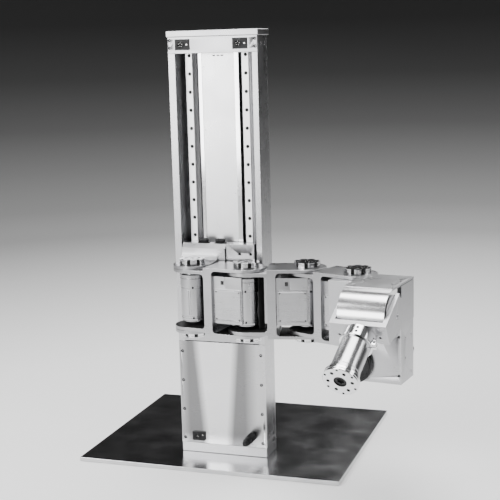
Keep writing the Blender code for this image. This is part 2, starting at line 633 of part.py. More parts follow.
def build():
    mats = {
        "aluminium": material("aluminium", (0.62, 0.62, 0.63), 0.38, 1.0),
        "satin": material("satin", (0.70, 0.70, 0.71), 0.30, 1.0),
        "polished": material("polished", (0.80, 0.80, 0.81), 0.16, 1.0),
        "steel": material("steel", (0.50, 0.50, 0.51), 0.28, 1.0),
        "bronze": material("bronze", (0.55, 0.38, 0.20), 0.35, 1.0),
        "black": material("black", (0.02, 0.02, 0.02), 0.45, 0.0),
        "dark_plate": material("dark_plate", (0.20, 0.20, 0.21), 0.35, 1.0),
    }
    base = rounded_box(-BASE_X / 2, BASE_X / 2, -BASE_Y / 2, BASE_Y / 2, 0, BASE_T, 0.6)
    place("base_plate", base, mats["dark_plate"], None)
    column = frame("column_frame", None, COLUMN_X, COLUMN_Y, BASE_T)
    build_column(column, mats)
    build_sockets(column, mats)
    build_screw(frame("screw_frame", column, 0, SCREW_Y, 0), mats)
    build_carriage(column, mats)
    place("drive_1", drive_mesh(), mats["satin"], column, (*AXES[0], 0))
    for number, heading in enumerate(HEADINGS, start=1):
        link = frame(f"link_{number}_frame", column, *AXES[number - 1], 0, heading)
        build_link(number, link, mats)
        build_hubs(number, link, mats)
        build_drive(number + 1, link, mats)
    wrist = frame("wrist_frame", column, *AXES[3], 0, WRIST_HEADING)
    build_hubs(4, wrist, mats)
    build_wrist(wrist, mats)
    pitch = frame("pitch_frame", wrist, WRIST_MID, PITCH_Y, PITCH_Z, 0, TOOL_DIP - 90)
    build_yoke(pitch, mats)
    build_tool_housing(pitch, mats)
    parents = {"pitch": pitch}
    for number in range(PLANETS):
        x, y = planet_centre(number)
        parents[f"planet_{number + 1}"] = frame(f"planet_{number + 1}_frame", pitch, x, y, 0)
    build_gears(parents, mats)
    build_flange(pitch, mats)


for old in list(bpy.data.objects):
    bpy.data.objects.remove(old)
build()
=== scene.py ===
import json
import math

import bmesh
import bpy
from mathutils import Matrix, Vector
from mathutils.geometry import tessellate_polygon


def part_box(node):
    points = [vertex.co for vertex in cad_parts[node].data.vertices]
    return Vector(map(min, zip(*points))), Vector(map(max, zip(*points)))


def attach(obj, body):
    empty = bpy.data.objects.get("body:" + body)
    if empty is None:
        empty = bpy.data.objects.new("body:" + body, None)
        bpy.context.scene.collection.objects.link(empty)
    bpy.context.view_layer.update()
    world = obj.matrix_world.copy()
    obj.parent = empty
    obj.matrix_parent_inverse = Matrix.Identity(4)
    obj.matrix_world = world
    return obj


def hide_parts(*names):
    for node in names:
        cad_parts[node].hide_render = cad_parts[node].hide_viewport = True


# The looks of a column-mounted robot arm. Lengths are in millimetres in each body's own frame, and become
# metres where a mesh is made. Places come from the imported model's boxes and joints.

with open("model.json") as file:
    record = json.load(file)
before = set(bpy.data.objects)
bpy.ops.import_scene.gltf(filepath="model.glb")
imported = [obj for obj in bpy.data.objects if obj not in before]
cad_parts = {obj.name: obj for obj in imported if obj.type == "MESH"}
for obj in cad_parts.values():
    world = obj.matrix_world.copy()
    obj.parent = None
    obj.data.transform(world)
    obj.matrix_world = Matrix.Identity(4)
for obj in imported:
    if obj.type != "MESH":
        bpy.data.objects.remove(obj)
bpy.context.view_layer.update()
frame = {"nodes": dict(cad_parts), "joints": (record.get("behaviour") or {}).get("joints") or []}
MM = 0.001
SHARP = math.radians(35)


# ---------------------------------------------------------------- places

def joint(name):
    return next(j for j in frame["joints"] if j["name"] == name)


BASE_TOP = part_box("base_plate")[1].z
COVER_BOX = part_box("front_cover")
AXES = [Vector(joint(name)["pos_m"]) for name in ("shoulder", "elbow_1", "elbow_2", "wrist_yaw")]


def upright(x, y, heading):
    """A frame that stands on the base plate's top, turned by heading in radians."""
    return Matrix.Translation((x, y, BASE_TOP)) @ Matrix.Rotation(heading, 4, "Z")


def pitch_place():
    """The frame on the pitch axis: x along it, and z back up the tool's axis."""
    x = Vector(joint("wrist_pitch")["axis"]).normalized()
    z = -Vector(joint("tool_roll")["axis"]).normalized()
    y = z.cross(x)
    place = Matrix((x, y, z)).transposed().to_4x4()
    place.translation = Vector(joint("wrist_pitch")["pos_m"])
    return place


PLACES = {"column": upright((COVER_BOX[0].x + COVER_BOX[1].x) / 2, COVER_BOX[0].y, 0)}
PLACES["carriage"] = PLACES["screw"] = PLACES["column"]
for number in (1, 2, 3):
    start, end = AXES[number - 1], AXES[number]
    PLACES[f"arm_{number}"] = upright(start.x, start.y, math.atan2(end.y - start.y, end.x - start.x))
PITCH_AXIS = joint("wrist_pitch")["axis"]
PLACES["wrist"] = upright(AXES[3].x, AXES[3].y, math.atan2(PITCH_AXIS[1], PITCH_AXIS[0]))
PLACES["pitch_unit"] = PLACES["tool"] = PLACES["sun"] = pitch_place()
for number in (1, 2, 3):
    PLACES[f"planet_body_{number}"] = PLACES["pitch_unit"]


def span(node, body):
    """A node's lowest and highest corner in its body's frame, in millimetres."""
    back = PLACES[body].inverted()
    points = [back @ vertex.co / MM for vertex in frame["nodes"][node].data.vertices]
    low = Vector([min(p[i] for p in points) for i in range(3)])
    high = Vector([max(p[i] for p in points) for i in range(3)])
    return low, high


# ---------------------------------------------------------------- materials

def link_nodes(mat, *pairs):
    for source, target in pairs:
        mat.node_tree.links.new(source, target)


def add_node(mat, kind, **values):
    """A shader node with its properties and, by name, its inputs set."""
    node = mat.node_tree.nodes.new(kind)
    for key, value in values.items():
        if key in node.inputs:
            node.inputs[key].default_value = value
        else:
            setattr(node, key, value)
    return node


def map_range(mat, value, source, target):
    node = add_node(mat, "ShaderNodeMapRange")
    for key, number in zip(("From Min", "From Max", "To Min", "To Max"), (*source, *target)):
        node.inputs[key].default_value = number
    link_nodes(mat, (value, node.inputs["Value"]))
    return node.outputs["Result"]


def noise(mat, vector, scale, detail, rough=0.55):
    node = add_node(mat, "ShaderNodeTexNoise", Scale=scale, Detail=detail, Roughness=rough)
    link_nodes(mat, (vector, node.inputs["Vector"]))
    return node.outputs["Fac"]


def stretched(mat, scale):
    """Object coordinates scaled by axis, so that noise on them becomes brush lines."""
    coords = add_node(mat, "ShaderNodeTexCoord")
    mapping = add_node(mat, "ShaderNodeMapping", Scale=scale)
    link_nodes(mat, (coords.outputs["Object"], mapping.inputs["Vector"]))
    return coords.outputs["Object"], mapping.outputs["Vector"]


def mixed(mat, factor, low, high):
    node = add_node(mat, "ShaderNodeMix", data_type="RGBA")
    node.inputs["A"].default_value = (*low, 1.0)
    node.inputs["B"].default_value = (*high, 1.0)
    link_nodes(mat, (factor, node.inputs["Factor"]))
    return node.outputs["Result"]


def edge_mask(mat, radius):
    """1 on a surface's edges and 0 on its flats."""
    bevel = add_node(mat, "ShaderNodeBevel", samples=4, Radius=radius)
    geometry = add_node(mat, "ShaderNodeNewGeometry")
    dot = add_node(mat, "ShaderNodeVectorMath", operation="DOT_PRODUCT")
    link_nodes(mat, (bevel.outputs["Normal"], dot.inputs[0]), (geometry.outputs["Normal"], dot.inputs[1]))
    return map_range(mat, dot.outputs["Value"], (1.0, 0.9), (0.0, 1.0))


def metal(name, colour, roughness, grain, spread=0.10, shade=0.14, depth=0.12, anisotropy=0.0, wear=0.0):
    """A metal with brush lines along the axis whose grain scale is lowest, uneven tone, and worn edges."""
    mat = bpy.data.materials.new(name)
    mat.use_nodes = True
    shader = mat.node_tree.nodes["Principled BSDF"]
    shader.inputs["Metallic"].default_value = 1.0
    shader.inputs["Anisotropic"].default_value = anisotropy
    plain, lines = stretched(mat, grain)
    streaks = noise(mat, lines, 1.0, 5.0)
    patches = noise(mat, plain, 14.0, 4.0)
    tone = add_node(mat, "ShaderNodeMath", operation="MULTIPLY_ADD")
    tone.inputs[1].default_value = 0.55
    link_nodes(mat, (streaks, tone.inputs[0]), (map_range(mat, patches, (0.3, 0.7), (0.0, 0.45)),
                                                tone.inputs[2]))
    dark = [c * (1 - shade) for c in colour]
    bright = [min(1.0, c * (1 + shade)) for c in colour]
    base = mixed(mat, tone.outputs["Value"], dark, bright)
    if wear:
        worn = add_node(mat, "ShaderNodeMix", data_type="RGBA")
        worn.inputs["B"].default_value = (0.92, 0.92, 0.93, 1.0)
        edges = map_range(mat, edge_mask(mat, 0.9 * MM), (0.0, 1.0), (0.0, wear))
        link_nodes(mat, (edges, worn.inputs["Factor"]), (base, worn.inputs["A"]))
        base = worn.outputs["Result"]
    rough = map_range(mat, tone.outputs["Value"], (0.2, 0.8),
                      (roughness - spread / 2, roughness + spread / 2))
    bump = add_node(mat, "ShaderNodeBump", Strength=depth, Distance=0.05 * MM)
    link_nodes(mat, (base, shader.inputs["Base Color"]), (rough, shader.inputs["Roughness"]),
               (streaks, bump.inputs["Height"]), (bump.outputs["Normal"], shader.inputs["Normal"]))
    return mat


def plastic(name, colour, roughness, grain=900.0, depth=0.25):
    """Moulded or coated black, with a fine uneven surface; also used for the black of the painted shade."""
    mat = bpy.data.materials.new(name)
    mat.use_nodes = True
    shader = mat.node_tree.nodes["Principled BSDF"]
    plain, fine = stretched(mat, (grain, grain, grain))
    specks = noise(mat, fine, 1.0, 2.0)
    patches = noise(mat, plain, 60.0, 3.0)
    shader.inputs["Specular IOR Level"].default_value = 0.3
    base = mixed(mat, patches, [c * 0.7 for c in colour], [c * 1.5 for c in colour])
    rough = map_range(mat, patches, (0.3, 0.7), (roughness - 0.08, roughness + 0.08))
    bump = add_node(mat, "ShaderNodeBump", Strength=depth, Distance=0.05 * MM)
    link_nodes(mat, (base, shader.inputs["Base Color"]), (rough, shader.inputs["Roughness"]),
               (specks, bump.inputs["Height"]), (bump.outputs["Normal"], shader.inputs["Normal"]))
    return mat


def cover_with_painted_reflection():
    """The cover's sheet, sanded, with a painted reflection: a bright wedge painted down its middle, narrowing
    towards the bottom, painted darker at its sides, and its outer edges painted lighter again.
    """
    mat = metal("sanded_sheet_painted_reflection", (0.50, 0.50, 0.51), 0.25, ACROSS_X, spread=0.12, depth=0.2, wear=0.4)
    shader = mat.node_tree.nodes["Principled BSDF"]
    base = shader.inputs["Base Color"].links[0].from_socket
    coords = add_node(mat, "ShaderNodeTexCoord")
    axes = add_node(mat, "ShaderNodeSeparateXYZ")
    link_nodes(mat, (coords.outputs["Object"], axes.inputs["Vector"]))
    aside = add_node(mat, "ShaderNodeMath", operation="ADD")
    aside.inputs[1].default_value = 14 * MM
    link_nodes(mat, (axes.outputs["X"], aside.inputs[0]))
    off = add_node(mat, "ShaderNodeMath", operation="ABSOLUTE")
    link_nodes(mat, (aside.outputs["Value"], off.inputs[0]))
    narrow = add_node(mat, "ShaderNodeMath", operation="MULTIPLY_ADD")
    narrow.inputs[1].default_value = -0.085
    link_nodes(mat, (axes.outputs["Z"], narrow.inputs[0]), (off.outputs["Value"], narrow.inputs[2]))
    # Painted reflection: a bright wedge down the middle and lighter outer edges, with painted shade between
    # them.
    centre = map_range(mat, narrow.outputs["Value"], (16 * MM, 34 * MM), (1.0, 0.0))
    edge = map_range(mat, off.outputs["Value"], (66 * MM, 96 * MM), (0.0, 0.55))
    light = add_node(mat, "ShaderNodeMath", operation="MAXIMUM")
    link_nodes(mat, (centre, light.inputs[0]), (edge, light.inputs[1]))
    painted_reflection_tint = mixed(mat, light.outputs["Value"], (0.26, 0.26, 0.26), (1.0, 1.0, 1.0))
    scaled = add_node(mat, "ShaderNodeMix", data_type="RGBA", blend_type="MULTIPLY")
    scaled.inputs["Factor"].default_value = 1.0
    gain = add_node(mat, "ShaderNodeMix", data_type="RGBA", blend_type="ADD")
    gain.inputs["Factor"].default_value = 1.0
    gain.inputs["B"].default_value = (0.30, 0.30, 0.30, 1.0)
    link_nodes(mat, (base, gain.inputs["A"]), (gain.outputs["Result"], scaled.inputs["A"]),
               (painted_reflection_tint, scaled.inputs["B"]), (scaled.outputs["Result"], shader.inputs["Base Color"]))
    return mat


ACROSS_X = (6.0, 700.0, 700.0)  # brush lines along X
ALONG_Y = (700.0, 6.0, 700.0)
ALONG_Z = (700.0, 700.0, 6.0)
TURNED = (260.0, 260.0, 1400.0)

MATS = {
    "frame": metal("brushed_aluminium", (0.47, 0.47, 0.48), 0.30, ACROSS_X, wear=0.6),
    "upright": metal("brushed_extrusion", (0.52, 0.52, 0.53), 0.28, ALONG_Z, wear=0.7),
    # the cover's material carries a painted reflection and painted shade
    "cover": cover_with_painted_reflection(),
    "base": metal("brushed_plate", (0.62, 0.62, 0.63), 0.20, ACROSS_X, spread=0.10, shade=0.25,
                  depth=0.22, wear=0.9),
    "satin": metal("satin_casting", (0.52, 0.52, 0.53), 0.28, ACROSS_X, wear=0.4),
    "barrel": metal("turned_barrel", (0.56, 0.56, 0.57), 0.20, TURNED, anisotropy=0.5, wear=0.4),
    "bright": metal("polished_aluminium", (0.84, 0.84, 0.85), 0.13, TURNED, spread=0.08, shade=0.08,
                    anisotropy=0.5),
    "panel": metal("polished_panel", (0.74, 0.74, 0.75), 0.30, ALONG_Z, spread=0.1, shade=0.1),
    "sheet": metal("rolled_sheet", (0.74, 0.74, 0.75), 0.19, ACROSS_X, spread=0.1, shade=0.12, depth=0.2),
    "steel": metal("ground_steel", (0.58, 0.58, 0.60), 0.18, ALONG_Z, spread=0.08, shade=0.1, wear=0.3),
    "rail": metal("ground_rail", (0.90, 0.90, 0.91), 0.36, ALONG_Z, spread=0.08, shade=0.06, wear=0.3),
    # painted shade: black put on faces and sheets that lie in shade
    "inside": plastic("black_painted_shade", (0.005, 0.005, 0.005), 0.6),
    "gear": metal("gear_steel", (0.45, 0.44, 0.43), 0.28, TURNED, wear=0.6),
    "bronze": metal("bearing_bronze", (0.60, 0.41, 0.22), 0.33, TURNED, wear=0.4),
    "screw": plastic("black_oxide", (0.006, 0.006, 0.007), 0.38, grain=700.0),
    "anodised": plastic("black_anodised", (0.010, 0.010, 0.011), 0.30, grain=1200.0),
    "plastic": plastic("moulded_black", (0.007, 0.007, 0.008), 0.40),
    "rubber": plastic("cable_jacket", (0.012, 0.012, 0.013), 0.35, grain=500.0),
    "pin": metal("contact_tin", (0.60, 0.60, 0.59), 0.25, TURNED),
}


# ---------------------------------------------------------------- outlines

def arc(cx, cy, r, start, end, steps):
    """Points along an arc, both ends included; the angles are in degrees."""
    angles = [math.radians(start + (end - start) * i / steps) for i in range(steps + 1)]
    return [(cx + r * math.cos(a), cy + r * math.sin(a)) for a in angles]


def circle(cx, cy, r, steps=32, turn=0.0):
    return arc(cx, cy, r, turn, turn + 360.0, steps)[:-1]


def rounded(x0, x1, y0, y1, r, steps=4):
    """A rectangle with round corners."""
    points = arc(x1 - r, y1 - r, r, 0, 90, steps) + arc(x0 + r, y1 - r, r, 90, 180, steps)
    return points + arc(x0 + r, y0 + r, r, 180, 270, steps) + arc(x1 - r, y0 + r, r, 270, 360, steps)


# ---------------------------------------------------------------- meshes

def to_mesh(bm, name="mesh"):
    bmesh.ops.recalc_face_normals(bm, faces=bm.faces)
    mesh = bpy.data.meshes.new(name)
    bm.to_mesh(mesh)
    bm.free()
    return mesh


def prism(outline, low, high, holes=(), axis="Z"):
    """An outline extruded along an axis: (x, y) for Z, (x, z) for Y and (y, z) for X."""
    order = {"Z": (0, 1, 2), "Y": (0, 2, 1), "X": (2, 0, 1)}[axis]
    loops = [list(outline)] + [list(hole) for hole in holes]
    bm = bmesh.new()
    levels = []
    for level in (low, high):
        corners = [[[(a, b, level)[i] for i in order] for a, b in loop] for loop in loops]
        levels.append([[bm.verts.new(Vector(corner) * MM) for corner in loop] for loop in corners])
    for lower, upper in zip(*levels):
        for i in range(len(lower)):
            j = (i + 1) % len(lower)
            bm.faces.new((lower[i], lower[j], upper[j], upper[i]))
    if len(loops) == 1:
        for level in levels:
            bm.faces.new(level[0])
    else:
        triangles = tessellate_polygon([[Vector((a, b, 0)) for a, b in loop] for loop in loops])
        for level in levels:
            flat = [vertex for loop in level for vertex in loop]
            for triangle in triangles:
                bm.faces.new([flat[i] for i in triangle])
    return to_mesh(bm)


def box(x0, x1, y0, y1, z0, z1):
    return prism([(x0, y0), (x1, y0), (x1, y1), (x0, y1)], z0, z1)


def turned(profile, steps=64):
    """A profile of (radius, z) points turned about Z; a radius of 0 closes it on the axis."""
    bm = bmesh.new()
    rings = []
    for radius, z in profile:
        points = [(0.0, 0.0)] if radius == 0 else circle(0, 0, radius, steps)
        rings.append([bm.verts.new((x * MM, y * MM, z * MM)) for x, y in points])
    pairs = list(zip(rings, rings[1:]))
    if profile[0][0] and profile[-1][0]:
        pairs.append((rings[-1], rings[0]))
    for lower, upper in pairs:
        for i in range(steps):
            j = (i + 1) % steps
            a, b = lower[i % len(lower)], lower[j % len(lower)]
            c, d = upper[j % len(upper)], upper[i % len(upper)]
            bm.faces.new(list(dict.fromkeys((a, b, c, d))))
    return to_mesh(bm)


def moved(mesh, x=0.0, y=0.0, z=0.0, turn=None):
    """The mesh moved, after its +Z is turned to the given direction."""
    if turn is not None:
        mesh.transform(Vector(turn).to_track_quat("Z", "Y").to_matrix().to_4x4())
    mesh.transform(Matrix.Translation(Vector((x, y, z)) * MM))
    return mesh


def group(*meshes):
    """Several meshes as one, without joining their solids."""
    bm = bmesh.new()
    for mesh in meshes:
        bm.from_mesh(mesh)
    return to_mesh(bm)


def combine(mesh, other, operation="DIFFERENCE"):
    """One mesh cut by, or joined with, another."""
    target = bpy.data.objects.new("target", mesh)
    tool = bpy.data.objects.new("tool", other)
    for obj in (target, tool):
        bpy.context.scene.collection.objects.link(obj)
    modifier = target.modifiers.new("Boolean", "BOOLEAN")
    modifier.operation = operation
    modifier.object = tool
    modifier.solver = "EXACT"
    bpy.context.view_layer.update()
    result = bpy.data.meshes.new_from_object(target.evaluated_get(bpy.context.evaluated_depsgraph_get()))
    for obj in (target, tool):
        bpy.data.objects.remove(obj)
    return result


def drills(holes):
    """One cutter for several round holes, each (x, y, z, radius, depth, direction out of the surface)."""
    made = []
    for x, y, z, radius, depth, out in holes:
        made.append(moved(prism(circle(0, 0, radius, 20), -depth, 1.0), x, y, z, turn=out))
    return group(*made)


# ---------------------------------------------------------------- pieces

def piece(name, mesh, finish, body, bevel=0.0, replaces=(), place=None):
    """A named piece on its body, smooth where it is round, with its sharp edges rounded off."""
    obj = bpy.data.objects.new(name, mesh)
    bpy.context.scene.collection.objects.link(obj)
    mesh.materials.clear()
    mesh.materials.append(MATS[finish])
    mesh.shade_smooth()
    mesh.set_sharp_from_angle(angle=SHARP)
    obj.matrix_world = PLACES[body] if place is None else place
    if bevel:
        modifier = obj.modifiers.new("Bevel", "BEVEL")
        modifier.width = bevel * MM
        modifier.segments = 2
        modifier.limit_method = "ANGLE"
        modifier.angle_limit = SHARP
        modifier.harden_normals = True
    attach(obj, body)
    if replaces:
        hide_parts(*replaces)
    return obj


def cad_mesh(node, body):
    """A CAD node's mesh in its body's frame, with its coplanar facets merged."""
    bm = bmesh.new()
    bm.from_mesh(frame["nodes"][node].data)
    bmesh.ops.remove_doubles(bm, verts=bm.verts, dist=1e-6)
    bmesh.ops.dissolve_limit(bm, angle_limit=math.radians(0.5), verts=bm.verts, edges=bm.edges)
    bm.transform(PLACES[body].inverted())
    return to_mesh(bm)


def refined(node, body, finish, bevel=0.5, holes=()):
    """A CAD node's shape with rounded edges and drilled holes."""
    mesh = cad_mesh(node, body)
    if holes:
        mesh = combine(mesh, drills(holes))
    return piece(f"{node}_finished", mesh, finish, body, bevel, replaces=(node,))


FASTENERS = {}


def socket_screw(radius, height):
    """A cap screw's head with a hexagon socket, standing on z = 0."""
    chamfer = radius * 0.14
    profile = [(0, 0), (radius, 0), (radius, height - chamfer), (radius - chamfer, height), (0, height)]
    head = turned(profile, 24)
    return combine(head, prism(circle(0, 0, radius * 0.52, 6), height - radius * 0.75, height + 1))


def fasten(body, points, out, radius=2.6, height=0.8, finish="screw"):
    """Cap screws at points in a body's frame, their heads facing out."""
    for x, y, z in points:
        head = moved(socket_screw(radius, height), x, y, z, turn=out)
        FASTENERS.setdefault((body, finish), []).append(head)


def build_fasteners():
    """The screws on each body, grouped by finish as separate solids."""
    for (body, finish), heads in FASTENERS.items():
        piece(f"{body}_{finish}_fasteners", group(*heads), finish, body)


def corrugated(name, points, radius, body):
    """A ribbed conduit along a smooth path in a body's frame."""
    pitch = radius * 0.55
    path = smooth_path(points, pitch / 2)
    bm = bmesh.new()
    rings = []
    for i, at in enumerate(path):
        ahead = path[min(i + 1, len(path) - 1)] - path[max(i - 1, 0)]
        turn = ahead.to_track_quat("Z", "Y")
        r = radius * (1.0 if i % 2 else 0.80)
        rings.append([bm.verts.new((at + turn @ Vector((x, y, 0))) * MM) for x, y in circle(0, 0, r, 12)])
    for lower, upper in zip(rings, rings[1:]):
        for i in range(12):
            j = (i + 1) % 12
            bm.faces.new((lower[i], lower[j], upper[j], upper[i]))
    bm.faces.new(rings[0])
    bm.faces.new(rings[-1])
    return piece(name, to_mesh(bm), "rubber", body)


def smooth_path(points, step):
    """Points a step apart along a Catmull-Rom curve through the given ones."""
    knots = [Vector(p) for p in points]
    knots = [2 * knots[0] - knots[1]] + knots + [2 * knots[-1] - knots[-2]]
    fine = []
    for a, b, c, d in zip(knots, knots[1:], knots[2:], knots[3:]):
        for i in range(40):
            t = i / 40
            fine.append(0.5 * ((2 * b) + (c - a) * t + (2 * a - 5 * b + 4 * c - d) * t * t
                               + (3 * b - a - 3 * c + d) * t ** 3))
    fine.append(knots[-2])
    path, walked = [fine[0]], 0.0
    for p, q in zip(fine, fine[1:]):
        walked += (q - p).length
        if walked >= step:
            path.append(q)
            walked = 0.0
    return path


# ---------------------------------------------------------------- column

COVER_LOW, COVER_HIGH = span("front_cover", "column")
DOWN_Y = (0, -1, 0)


def build_walls():
    refined("foot_block", "column", "frame", 0.5)
    left = span("left_wall", "column")
    right = span("right_wall", "column")
    levels = [left[0].z + 18 + i * (left[1].z - left[0].z - 36) / 7 for i in range(8)]
    depth = (left[0].y + left[1].y) / 2 + 14
    side_holes = {"left": [], "right": []}
    for level in (levels[0], levels[-1]):
        for y in (depth - 22, depth + 4):
            side_holes["left"].append((left[0].x, y, level, 3.4, 2.6, (-1, 0, 0)))
            side_holes["right"].append((right[1].x, y, level, 3.4, 2.6, (1, 0, 0)))
    for side, (low, high) in (("left", left), ("right", right)):
        refined(f"{side}_wall", "column", "upright", 0.4, holes=side_holes[side])
        for x, y, z, _, hole, out in side_holes[side]:
            fasten("column", [(x - out[0] * hole, y, z)], out, 3.0, 2.0)
    back_low, back_high = span("back_plate", "column")
    points = [(x, back_high.y, z) for x in (back_low.x + 8, back_high.x - 8) for z in levels]
    holes = [(x, y, z, 3.2, 2.0, (0, 1, 0)) for x, y, z in points]
    refined("back_plate", "column", "upright", 0.4, holes=holes)
    fasten("column", [(x, y - 2.0, z) for x, y, z in points], (0, 1, 0), 2.8, 1.5)


def build_cover():
    low, high = COVER_LOW, COVER_HIGH
    levels = [low.z + 10.5 + i * (high.z - low.z - 34.5) / 3 for i in range(4)]
    points = [(x, low.y, z) for x in (low.x + 8.0, high.x - 9.5) for z in levels]
    holes = [(x, y, z, 3.5, 1.6, DOWN_Y) for x, y, z in points]
    refined("front_cover", "column", "cover", 0.3, holes=holes)
    fasten("column", [(x, y + 1.6, z) for x, y, z in points], DOWN_Y, 3.3, 1.4)


def build_cap():
    low, high = span("cap_block", "column")
    ends = [(x, low.y, z) for x in (low.x + 4.2, high.x - 5.2) for z in (high.z - 7.0, high.z - 23.0)]
    holes = [(x, y, z, 3.4, 2.4, DOWN_Y) for x, y, z in ends]
    refined("cap_block", "column", "frame", 0.4, holes=holes)
    fasten("column", [(x, y + 2.4, z) for x, y, z in ends], DOWN_Y, 3.2, 1.9)
    lid_low, lid_high = span("cap_lid", "column")
    tops = [(x, y, lid_high.z) for x in (lid_low.x + 14, lid_high.x - 14) for y in (lid_low.y + 14,
            lid_high.y - 14)]
    refined("cap_lid", "column", "frame", 0.8, holes=[(x, y, z, 4.2, 3.4, (0, 0, 1)) for x, y, z in tops])
    fasten("column", [(x, y, z - 3.4) for x, y, z in tops], (0, 0, 1), 3.8, 3.0)
    middle = (905.0 + 928.0) / 2
    for name, x in (("left", -68.0), ("right", 63.0)):
        build_panel_socket(f"cap_{name}_socket", x, 3.4, middle, 33.0, 22.0)


def build_panel_socket(name, x, y, z, width, height):
    """A black panel socket: a frame, a round port with a rim, and a small round key beside it."""
    half_w, half_h = width / 2, height / 2
    port_x = -half_w * 0.28
    radius = half_h * 0.74
    frame_holes = [circle(port_x, 0, radius, 32), circle(half_w * 0.62, 0, 2.6, 16)]
    face = prism(rounded(-half_w, half_w, -half_h, half_h, 1.6), -4.6, 1.2, holes=frame_holes, axis="Y")
    back = prism(rounded(-half_w + 1, half_w - 1, -half_h + 1, half_h - 1, 1.0), 0.6, 1.4, axis="Y")
    rim = moved(turned([(radius - 1.6, 0), (radius, 0), (radius, 2.2), (radius - 0.6, 2.8),
                        (radius - 1.6, 2.8)], 32),
                port_x, -3.4, 0, turn=DOWN_Y)
    place = PLACES["column"] @ Matrix.Translation(Vector((x, y, z)) * MM)
    piece(name, group(face, back), "plastic", "column", 0.3, place=place)
    piece(f"{name}_rim", rim, "anodised", "column", 0.0, place=place)
    pins = []
    for i in range(5):
        a = math.radians(90 + 72 * i)
        pin = turned([(0, 0), (0.9, 0), (0.9, 4.0), (0.5, 4.6), (0, 4.6)], 12)
        pins.append(moved(pin, port_x + math.cos(a) * radius * 0.5, 0.6, math.sin(a) * radius * 0.5,
                          turn=DOWN_Y))
    key = turned([(0, 0), (2.2, 0), (2.2, 4.6), (1.6, 5.2), (0, 5.2)], 20)
    pins.append(moved(key, half_w * 0.62, 0.6, 0, turn=DOWN_Y))
    piece(f"{name}_contacts", group(*pins), "pin", "column", 0.0, place=place)


def build_rails():
    """Profile rails with a groove down each side and counterbored bolts."""
    pitch, top, count = 39.5, 892.8, 16
    for side in ("left", "right"):
        low, high = span(f"{side}_rail", "column")
        x = (low.x + high.x) / 2
        front, back = low.y, high.y
        half = 8.6
        outline = [(-12.5, back), (-12.5, front + 16), (-7.5, front + 16), (-6.4, front + 9.0),
                   (-7.4, front + 7.6)]
        outline += arc(-half, front + 5.0, 1.7, 60, -60, 5)
        outline += [(-half, front + 1.2), (-half + 1.2, front)]
        outline += [(-a, b) for a, b in reversed(outline)]
        bar = moved(prism(outline, low.z, high.z), x - 1.4)
        points = [(x, front, top - pitch * i) for i in range(count) if top - pitch * i > low.z + 6]
        bar = combine(bar, drills([(a, b, c, 3.9, 5.0, DOWN_Y) for a, b, c in points]))
        piece(f"{side}_rail_finished", bar, "rail", "column", 0.25, replaces=(f"{side}_rail",))
        fasten("column", [(a, b + 5.0, c) for a, b, c in points], DOWN_Y, 3.7, 3.4)


def build_panel():
    low, high = span("screw_panel", "column")
    slots = []
    for x in (-12.0, -2.0, 7.0):
        slots.append(prism(rounded(x, x + 6.5, high.z - 7.0, high.z - 4.6, 1.1), low.y - 1, high.y + 1,
                           axis="Y"))
    sheet = combine(cad_mesh("screw_panel", "column"), group(*slots))
    piece("screw_panel_finished", sheet, "panel", "column", 0.25, replaces=("screw_panel",))
    levels = [low.z + 30 + i * (high.z - low.z - 60) / 4 for i in range(5)]
    fasten("column", [(x, low.y, z) for x in (-33.0, 33.0) for z in levels], DOWN_Y, 1.6, 0.7,
           finish="steel")
    for name, x0, x1 in (("left", -45.0, -37.0), ("right", 37.5, 47.2)):
        strip = box(x0, x1, low.y - 0.9, low.y - 0.1, low.z, high.z)
        piece(f"screw_panel_{name}_strip", strip, "bright", "column", 0.2)


def build_lead_screw():
    """A trapezoidal thread cut by its own formula between two plain journals."""
    low, high = span("lead_screw", "column")
    centre = ((low.x + high.x) / 2, (low.y + high.y) / 2)
    outer, core, pitch, around = 5.95, 4.6, 5.0, 20
    start, end = low.z + 27, high.z - 28
    per_turn = 8
    rows = int((end - start) / pitch * per_turn)
    bm = bmesh.new()
    rings = []

    def ring(z, radius_at):
        points = []
        for i in range(around):
            a = 2 * math.pi * i / around
            r = radius_at(i / around)
            points.append(bm.verts.new(Vector((centre[0] + r * math.cos(a), centre[1] + r * math.sin(a),
                                               z)) * MM))
        rings.append(points)

    ring(low.z, lambda share: 4.0)
    ring(start, lambda share: 4.0)
    for row in range(rows + 1):
        z = start + (end - start) * row / rows

        def thread(share):
            phase = (z / pitch - share) % 1.0
            crest = min(1.0, max(0.0, 1.9 - abs(phase - 0.5) * 7.0))
            return core + (outer - core) * crest
        ring(z, thread)
    ring(end, lambda share: 4.0)
    ring(high.z, lambda share: 4.0)
    for lower, upper in zip(rings, rings[1:]):
        for i in range(around):
            j = (i + 1) % around
            bm.faces.new((lower[i], lower[j], upper[j], upper[i]))
    bm.faces.new(rings[0])
    bm.faces.new(rings[-1])
    piece("lead_screw_thread", to_mesh(bm), "steel", "screw", replaces=("lead_screw",))


